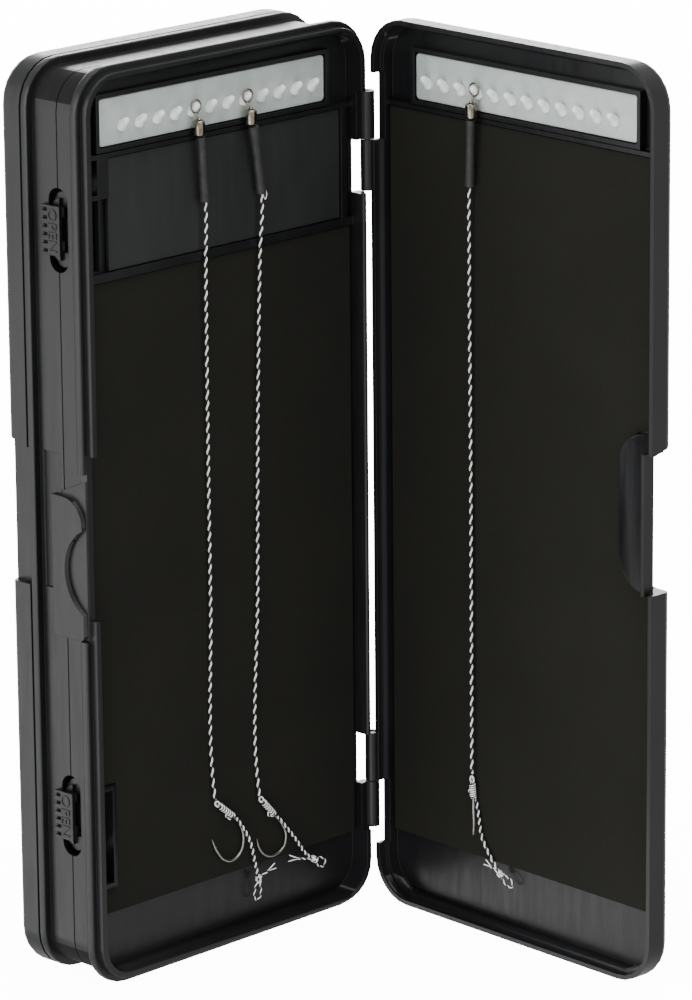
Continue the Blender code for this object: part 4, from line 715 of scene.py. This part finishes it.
def twisted_line(name, points, strand_radius, twist_radius, pitch):
    """A mesh of two strands twisted along the points."""
    curve = bpy.data.curves.new(name + "_route", "CURVE")
    curve.dimensions = "3D"
    spline = curve.splines.new("POLY")
    spline.points.add(len(points) - 1)
    for point, place in zip(spline.points, points):
        point.co = (*place, 1.0)
    route = bpy.data.objects.new(name + "_route", curve)
    bpy.context.scene.collection.objects.link(route)
    return run_tree(route, STRAND_TREE, {"First Radius": strand_radius,
                                         "Second Radius": strand_radius * DARK_STRAND_SHARE,
                                         "Twist Radius": twist_radius, "Pitch": pitch,
                                         "Step": pitch / STEPS_PER_TWIST, "First Material": PALE_FIBRE,
                                         "Second Material": DARK_FIBRE}, name)


def rig_place(side, peg):
    """Turns (across, drop, lift) from a peg into a place at rest."""
    def on_tray(offsets):
        across, drop, lift = offsets
        return Vector((peg_x(peg) + across, tray_y(FRONT, TRAY_STRIP_DEPTH - lift), PEG_HEIGHT - drop))

    def on_lid(offsets):
        across, drop, lift = offsets
        closed = Vector((peg_x(peg) - across, lid_y(FRONT, LID_STRIP_DEPTH - lift), PEG_HEIGHT - drop))
        return OPEN_TURN @ closed

    return on_tray if side == "tray" else on_lid


def stop_short(start, target, distance):
    """The point at a distance from the target, on the way to it from the start."""
    return target + (start - target).normalized() * distance


def make_swivel(name, place, body):
    """Barrel with rolled ends, a wire eye round the peg and the neck between them."""
    top = place((0, BARREL_DROP, BARREL_LIFT))
    bottom = place((0, BARREL_DROP + BARREL_LENGTH, BARREL_LIFT))
    barrel = bmesh.new()
    lathe(barrel, top, bottom, BARREL_PROFILE)
    new_piece(name + "_barrel", barrel, body, [SWIVEL_METAL], [name + "_swivel"])
    rise = EYE_LIFT * math.tan(math.radians(PEG_TILT_DEGREES))
    eye = bmesh.new()
    ring = []
    for number in range(EYE_STEPS):
        angle = 2 * math.pi * number / EYE_STEPS
        ring.append(place((EYE_RADIUS * math.sin(angle), -rise - EYE_RADIUS * math.cos(angle), EYE_LIFT)))
    sweep(eye, ring, [EYE_WIRE_RADIUS] * EYE_STEPS, closed=True)
    neck_middle = (0.0, (EYE_RADIUS - rise + BARREL_DROP) / 2, (EYE_LIFT + BARREL_LIFT) / 2)
    neck = smooth_route([place((-NECK_LEAN, EYE_RADIUS - rise, EYE_LIFT)), place(neck_middle),
                         place((NECK_LEAN / 2, BARREL_DROP + NECK_SINK, BARREL_LIFT))], FINEST_STEP)
    sweep(eye, neck, [NECK_RADIUS] * len(neck))
    collar_top = place((0, BARREL_DROP - COLLAR_RISE, BARREL_LIFT - COLLAR_DIP))
    lathe(eye, collar_top, top, COLLAR_PROFILE, sides=20)
    new_piece(name + "_eye", eye, body, [EYE_METAL])


def make_sleeve(name, place, shape, body):
    """Soft tube pushed over the barrel's lower eye, hollow where the line leaves."""
    top, bottom = (place(point) for point in shape["sleeve"])
    tube = bmesh.new()
    shares = [number / (SLEEVE_STEPS - 1) for number in range(SLEEVE_STEPS)]
    points = [top.lerp(bottom, share) for share in shares]
    radii = [share_value(shape["sleeve_radii"], share) for share in shares]
    axis = (bottom - top).normalized()
    inner = [bottom, bottom - axis * SLEEVE_LIP_DEPTH, bottom - axis * SLEEVE_BORE_DEPTH]
    sweep(tube, points + inner, radii + SLEEVE_BORE_RADII, sides=20)
    if shape["has_spare_loop"]:
        beside = place((1, 0, 0)) - place((0, 0, 0))
        foot = bottom + beside * SPARE_LOOP_OFFSET
        spare = smooth_route([foot + axis * down + beside * across for down, across in SPARE_LOOP_ROUTE],
                             FINEST_STEP)
        sweep(tube, spare, [SPARE_LINE_RADIUS] * len(spare), sides=8, material=1)
    new_piece(name + "_sleeve_skin", tube, body, [SLEEVE_RUBBER, PALE_FIBRE], [name + "_sleeve"])


def add_twisted(shape, route, step, radii):
    """Add a short twisted line to a bmesh whose materials are the pale and the dark strand."""
    mesh = twisted_line("short_twist", smooth_route(route, step), *radii, HAIR_PITCH)
    shape.from_mesh(mesh)
    bpy.data.meshes.remove(mesh)


def share_value(table, share):
    """Read a table of (share, value) with straight lines between its rows."""
    for (start, low), (end, high) in zip(table, table[1:]):
        if share <= end:
            return low + (high - low) * (share - start) / (end - start)
    return table[-1][1]


def make_hook(name, place, shape, body):
    """Hook wire: eye under the whipping, round bend, tapered needle point and a small barb."""
    head, tail = (place(point) for point in shape["whipping"])
    axis = (tail - head).normalized()
    exit_point = tail + axis * CLEARANCE
    route = [head + axis * HOOK_START, exit_point]
    for shares in shape["hook"]:
        route.append(place([offset + HOOK_LENGTH * share
                            for offset, share in zip(shape["whipping"][1], shares)]))
    points = smooth_route(route, FINE_STEP)
    radii = [HOOK_WIRE_RADIUS] * (len(points) - TAPER_POINTS)
    for number in range(TAPER_POINTS):
        share = number / (TAPER_POINTS - 1)
        radii.append(HOOK_WIRE_RADIUS * (1 - TAPER_SHARE * share ** TAPER_CURVE))
    wire = bmesh.new()
    sweep(wire, points, radii, sides=14)
    barb_root = points[BARB_START]
    forward = (points[-1] - barb_root).normalized()
    inward = sum(points, Vector()) / len(points) - barb_root
    inward = (inward - forward * inward.dot(forward)).normalized()
    barb = [barb_root + inward * rise - forward * back for rise, back in BARB_ROUTE]
    sweep(wire, barb, BARB_RADII, sides=8)
    return new_piece(name + "_hook_wire", wire, body, [HOOK_STEEL], [name + "_hook"])


def coil_points(start, end, radius, turns, points_per_turn=14, phase=0.0):
    """Points of a coil wound from start to end."""
    axis = (end - start).normalized()
    seed = Vector((0, 1, 0))
    normal = (seed - axis * seed.dot(axis)).normalized()
    side = axis.cross(normal)
    count = int(turns * points_per_turn) + 1
    points = []
    for number in range(count):
        share = number / (count - 1)
        angle = phase + 2 * math.pi * turns * share
        points.append(start.lerp(end, share) + (normal * math.cos(angle) + side * math.sin(angle)) * radius)
    return points


def make_whipping(name, place, shape, body):
    """The knotless knot: line passed through the hook's eye and wound down its shank."""
    head, tail = (place(point) for point in shape["whipping"])
    axis = (tail - head).normalized()
    wound = bmesh.new()
    for phase, radius, material in ((0.0, PALE_WIND_RADIUS, 0), (math.pi, DARK_WIND_RADIUS, 1)):
        coil = coil_points(head + axis * WHIPPING_START, tail - axis * WHIPPING_END, WHIPPING_COIL_RADIUS,
                           WHIPPING_TURNS, phase=phase)
        sweep(wound, coil, [radius] * len(coil), sides=8, material=material)
    out = place((0, 0, 1)) - place((0, 0, 0))
    across = axis.cross(out).normalized()
    eye = []
    for number in range(HOOK_EYE_STEPS):
        angle = 2 * math.pi * number / HOOK_EYE_STEPS
        eye.append(head + axis * (HOOK_EYE_REACH + HOOK_EYE_REACH * math.cos(angle))
                   + across * HOOK_EYE_HALF_WIDTH * math.sin(angle))
    sweep(wound, eye, [HOOK_EYE_LINE_RADIUS] * HOOK_EYE_STEPS, sides=8, closed=True)
    bulge = [tail - axis * back + across * reach for back, reach in BULGE_ROUTE]
    add_twisted(wound, bulge, FINEST_STEP, BULGE_RADII)
    return new_piece(name + "_whipped_line", wound, body, [PALE_FIBRE, DARK_FIBRE], [name + "_whipping"])


def make_loop(name, place, shape, body):
    """Overhand knot at the hair's end, the small bait loop and the cut, frayed tag."""
    knot = place(shape["knot"])
    end = place(shape["loop_end"])
    tag = place(shape["tag_end"])
    out = (place((0, 0, 1)) - place((0, 0, 0))).normalized()
    along = (end - knot).normalized()
    sideways = along.cross(out).normalized()
    reach = (end - knot).length
    tied = bmesh.new()
    for number, (way, values) in enumerate(zip((along, sideways), KNOT_COILS)):
        back, on, coil_radius, turns, phase, line_radius = values
        coil = coil_points(knot - way * back, knot + way * on, coil_radius, turns, phase=phase)
        sweep(tied, coil, [line_radius] * len(coil), sides=8, material=number)
    half = sideways * LOOP_HALF_WIDTH
    foot = knot + along * LOOP_START
    middle = knot + along * (reach / 2)
    shoulder = knot + along * (reach - LOOP_HALF_WIDTH / 2)
    loop_route = [foot + half * LOOP_FOOT_SHARE, middle + half, shoulder + half * LOOP_SHOULDER_SHARE, end,
                  shoulder - half * LOOP_SHOULDER_SHARE, middle - half, foot - half * LOOP_FOOT_SHARE]
    add_twisted(tied, loop_route, FINE_STEP, LOOP_RADII)
    direction = tag - knot
    fray_side = direction.cross(out).normalized()
    neck = knot + direction * TAG_NECK_SHARE
    add_twisted(tied, [knot + direction * TAG_START_SHARE, neck], FINE_STEP, TAG_RADII)
    for number, (spread, lift) in enumerate(FRAY_SHARES):
        fray_start = neck + direction * FRAY_START_SHARE
        fray_middle = neck + direction * FRAY_MIDDLE_SHARE + fray_side * spread * FRAY_MIDDLE_SPREAD
        fray_end = tag + fray_side * spread * FRAY_END_SPREAD + out * lift * FRAY_END_LIFT
        fray = smooth_route([fray_start, fray_middle, fray_end], FINE_STEP)
        sweep(tied, fray, [FRAY_RADIUS] * len(fray), sides=6, material=number % 2)
    return new_piece(name + "_bait_loop", tied, body, [PALE_FIBRE, DARK_FIBRE], [name + "_loop"])


def make_rig(name):
    """One rig on its peg: swivel, sleeve, hooklink, whipping, hook, hair and bait loop."""
    shape = RIG_SHAPES[name]
    place = rig_place(shape["side"], shape["peg"])
    body = "front_half" if shape["side"] == "tray" else "front_lid"
    make_swivel(name, place, body)
    make_sleeve(name, place, shape, body)
    whipping = make_whipping(name, place, shape, body)
    hook = make_hook(name, place, shape, body)
    loop = make_loop(name, place, shape, body)
    top, bottom = (place(point) for point in shape["sleeve"])
    head, tail = (place(point) for point in shape["whipping"])
    start = bottom - (bottom - top).normalized() * (SLEEVE_BORE_DEPTH - 2 * CLEARANCE)
    link_route = [start, *(place(point) for point in shape["link"])]
    link_route.append(stop_short(link_route[-1], head, BRAID_RADIUS + CLEARANCE))
    link_points = smooth_route(link_route, LINK_STEP)
    link_mesh = twisted_line(name + "_braided_link", link_points, *LINK_RADII, BRAID_PITCH)
    link = new_piece(name + "_braided_link", link_mesh, body, [PALE_FIBRE, DARK_FIBRE], [name + "_hooklink"])
    exit_point = tail + (tail - head).normalized() * CLEARANCE
    hair_side = 1 if shape["hair"][0][2] > shape["whipping"][1][2] else -1
    outward = place((0, 0, hair_side)) - place((0, 0, 0))
    hair_route = [exit_point + outward * (HOOK_WIRE_RADIUS + HAIR_RADIUS + CLEARANCE),
                  *(place(point) for point in shape["hair"])]
    hair_route.append(stop_short(hair_route[-1], place(shape["knot"]), KNOT_ENTRY))
    hair_mesh = twisted_line(name + "_braided_hair", smooth_route(hair_route, HAIR_STEP), *HAIR_RADII,
                             HAIR_PITCH)
    hair = new_piece(name + "_braided_hair", hair_mesh, body, [PALE_FIBRE, DARK_FIBRE], [name + "_hair"])


def make_peg_strip(node, body, side, on_lid):
    """Rounded strip and its row of tilted pegs, in place of the plain strip."""
    depth = LID_STRIP_DEPTH if on_lid else TRAY_STRIP_DEPTH
    level = lid_y if on_lid else tray_y
    turn = OPEN_TURN if node.startswith("front_lid") else Matrix.Identity(4)
    low_x = -HALF_WIDTH + STRIP_INSET
    plate = bmesh.new()
    bmesh.ops.create_cube(plate, size=1.0)
    for vertex in plate.verts:
        vertex.co.x = low_x + STRIP_LENGTH if vertex.co.x > 0 else low_x
        vertex.co.z = STRIP_BOTTOM + STRIP_HEIGHT if vertex.co.z > 0 else STRIP_BOTTOM
        is_face = (vertex.co.y * side > 0) != on_lid
        vertex.co.y = level(side, depth if is_face else depth + STRIP_THICKNESS)
    upright = [edge for edge in plate.edges
               if abs(edge.verts[0].co.y - edge.verts[1].co.y) > STRIP_THICKNESS / 2]
    bmesh.ops.bevel(plate, geom=upright, offset=STRIP_CORNER_RADIUS, offset_type="OFFSET", segments=5,
                    profile=0.5, affect="EDGES")
    face_y = level(side, depth)
    rim = [edge for edge in plate.edges
           if all(abs(vertex.co.y - face_y) < WELD_DISTANCE for vertex in edge.verts)]
    bmesh.ops.bevel(plate, geom=rim, offset=STRIP_EDGE_RADIUS, offset_type="OFFSET", segments=3, profile=0.5,
                    affect="EDGES")
    plate.transform(turn)
    new_piece(node + "_moulded", plate, body, [STRIP_FROST], [node])
    tilt = math.radians(PEG_TILT_DEGREES)
    inward = side if not on_lid else -side
    axis = Vector((0, inward * math.cos(tilt), math.sin(tilt)))
    peg = bmesh.new()
    root = Vector((peg_x(0), face_y, PEG_HEIGHT)) - axis * PEG_ROOT_SINK
    points = [root + axis * reach for reach, _ in PEG_PROFILE]
    sweep(peg, points, [radius for _, radius in PEG_PROFILE], sides=16)
    single = mesh_from_bmesh(node + "_peg", peg, smooth_degrees=60.0)
    source = bpy.data.objects.new(node + "_peg", single)
    bpy.context.scene.collection.objects.link(source)
    row = run_tree(source, ROW_TREE, {"Count": PEG_COUNT, "Pitch": PEG_PITCH, "Material": PEG_FROST},
                   node + "_pegs")
    row.transform(turn)
    new_piece(node + "_pegs", row, body, [PEG_FROST])


def make_lettering(catch):
    """Raised plain word on a catch's button, read downwards."""
    name = catch + "_lettering"
    curve = bpy.data.curves.new(name, "FONT")
    curve.body = "OPEN"
    curve.size = LETTER_SIZE
    curve.extrude = LETTER_THICKNESS
    curve.align_x = "CENTER"
    curve.align_y = "CENTER"
    text = bpy.data.objects.new(name + "_text", curve)
    bpy.context.scene.collection.objects.link(text)
    depsgraph = bpy.context.evaluated_depsgraph_get()
    mesh = bpy.data.meshes.new_from_object(text.evaluated_get(depsgraph))
    bpy.data.objects.remove(text, do_unlink=True)
    reading = Vector((0, 0, -1))
    facing = Vector((-1, 0, 0))
    upward = facing.cross(reading)
    turn = Matrix((reading, upward, facing)).transposed().to_4x4()
    button_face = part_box(catch)[0].x
    place = Vector((button_face - LETTER_SINK, SEAM_Y + LETTER_OFFSET, CATCH_HEIGHTS[catch]))
    mesh.transform(Matrix.Translation(place) @ turn)
    new_piece(name, mesh, catch, [BLACK_PLASTIC])


def make_slider_ends(catch):
    """The rounded ends of a catch's slider, seen behind its oval above and below the button."""
    name = catch + "_slider_ends"
    ends = bmesh.new()
    near = -HALF_WIDTH + SLIDER_SETBACK
    far = near + SLIDER_THICKNESS
    start = SLIDER_REACH - SLIDER_RADIUS - SLIDER_LENGTH
    outline = [(-SLIDER_RADIUS, start)]
    for number in range(SLIDER_STEPS + 1):
        angle = math.pi * (1 - number / SLIDER_STEPS)
        outline.append((SLIDER_RADIUS * math.cos(angle),
                        SLIDER_REACH - SLIDER_RADIUS * (1 - math.sin(angle))))
    outline.append((SLIDER_RADIUS, start))
    for sign in (1, -1):
        rings = [[ends.verts.new((x, SEAM_Y + across, CATCH_HEIGHTS[catch] + sign * rise))
                  for across, rise in outline] for x in (near, far)]
        for number in range(len(outline)):
            after = (number + 1) % len(outline)
            ends.faces.new((rings[0][number], rings[0][after], rings[1][after], rings[1][number]))
        ends.faces.new(rings[0])
        ends.faces.new(rings[1])
    bmesh.ops.recalc_face_normals(ends, faces=ends.faces)
    new_piece(name, ends, catch, [BLACK_PLASTIC])


def paint(node, material):
    """Give a CAD node, whose shape stays, a better material."""
    mesh = NODES[node].data
    mesh.materials.clear()
    mesh.materials.append(material)


def make_shell(node, body, material):
    """A welded copy of a moulded shell, shaded smooth round its corners, in the shell's place, with painted
    shade on the hollow's faces.
    """
    shape = bmesh.new()
    shape.from_mesh(NODES[node].data)
    bmesh.ops.remove_doubles(shape, verts=shape.verts, dist=WELD_DISTANCE)
    bmesh.ops.dissolve_limit(shape, angle_limit=math.radians(FLAT_DEGREES), verts=shape.verts,
                             edges=shape.edges)
    # Faces inside the hollow between the trays take the second material, a darker, duller plastic that is
    # painted shade
    if node in HOLLOW_DEPTHS:
        for face in shape.faces:
            centre = face.calc_center_median()
            across = abs(centre.x) < HALF_WIDTH - WALL_DEPTH
            upright = WALL_DEPTH < centre.z < BOX_HEIGHT - WALL_DEPTH
            face.material_index = int(across and upright and abs(centre.y - SEAM_Y) < HOLLOW_DEPTHS[node])
    mesh = mesh_from_bmesh(node + "_source", shape, smooth_degrees=SHARP_DEGREES)
    mesh.materials.append(material)
    mesh.materials.append(HOLLOW_SHADE_PLASTIC)
    source = bpy.data.objects.new(node + "_source", mesh)
    bpy.context.scene.collection.objects.link(source)
    weighted = source.modifiers.new("even_shading", "WEIGHTED_NORMAL")
    weighted.keep_sharp = True
    depsgraph = bpy.context.evaluated_depsgraph_get()
    mesh = bpy.data.meshes.new_from_object(source.evaluated_get(depsgraph))
    bpy.data.objects.remove(source, do_unlink=True)
    new_piece(node + "_shell", mesh, body, [], [node])


add_camera()
for rig_name in RIG_SHAPES:
    make_rig(rig_name)
add_studio()
for strip_node, strip_body, strip_side, strip_on_lid in (
        ("front_tray_peg_strip", "front_half", FRONT, False),
        ("back_tray_peg_strip", "back_half", BACK, False),
        ("front_lid_peg_strip", "front_lid", FRONT, True),
        ("back_lid_peg_strip", "back_lid", BACK, True)):
    make_peg_strip(strip_node, strip_body, strip_side, strip_on_lid)
for catch_node in CATCH_HEIGHTS:
    make_lettering(catch_node)
    make_slider_ends(catch_node)
for node_name in NODES:
    if node_name.endswith("sheet"):
        paint(node_name, FOAM)
    elif node_name.endswith("cover"):
        paint(node_name, PLATE_PLASTIC)
    elif "pin" in node_name:
        paint(node_name, PIN_STEEL)
    elif node_name.endswith("frame"):
        paint(node_name, BLACK_PLASTIC)
for shell_node, shell_body in (("front_tray", "front_half"), ("back_tray", "back_half"),
                               ("front_lid", "front_lid"), ("back_lid", "back_lid"),
                               ("lower_catch", "lower_catch"), ("upper_catch", "upper_catch")):
    make_shell(shell_node, shell_body, BLACK_PLASTIC)
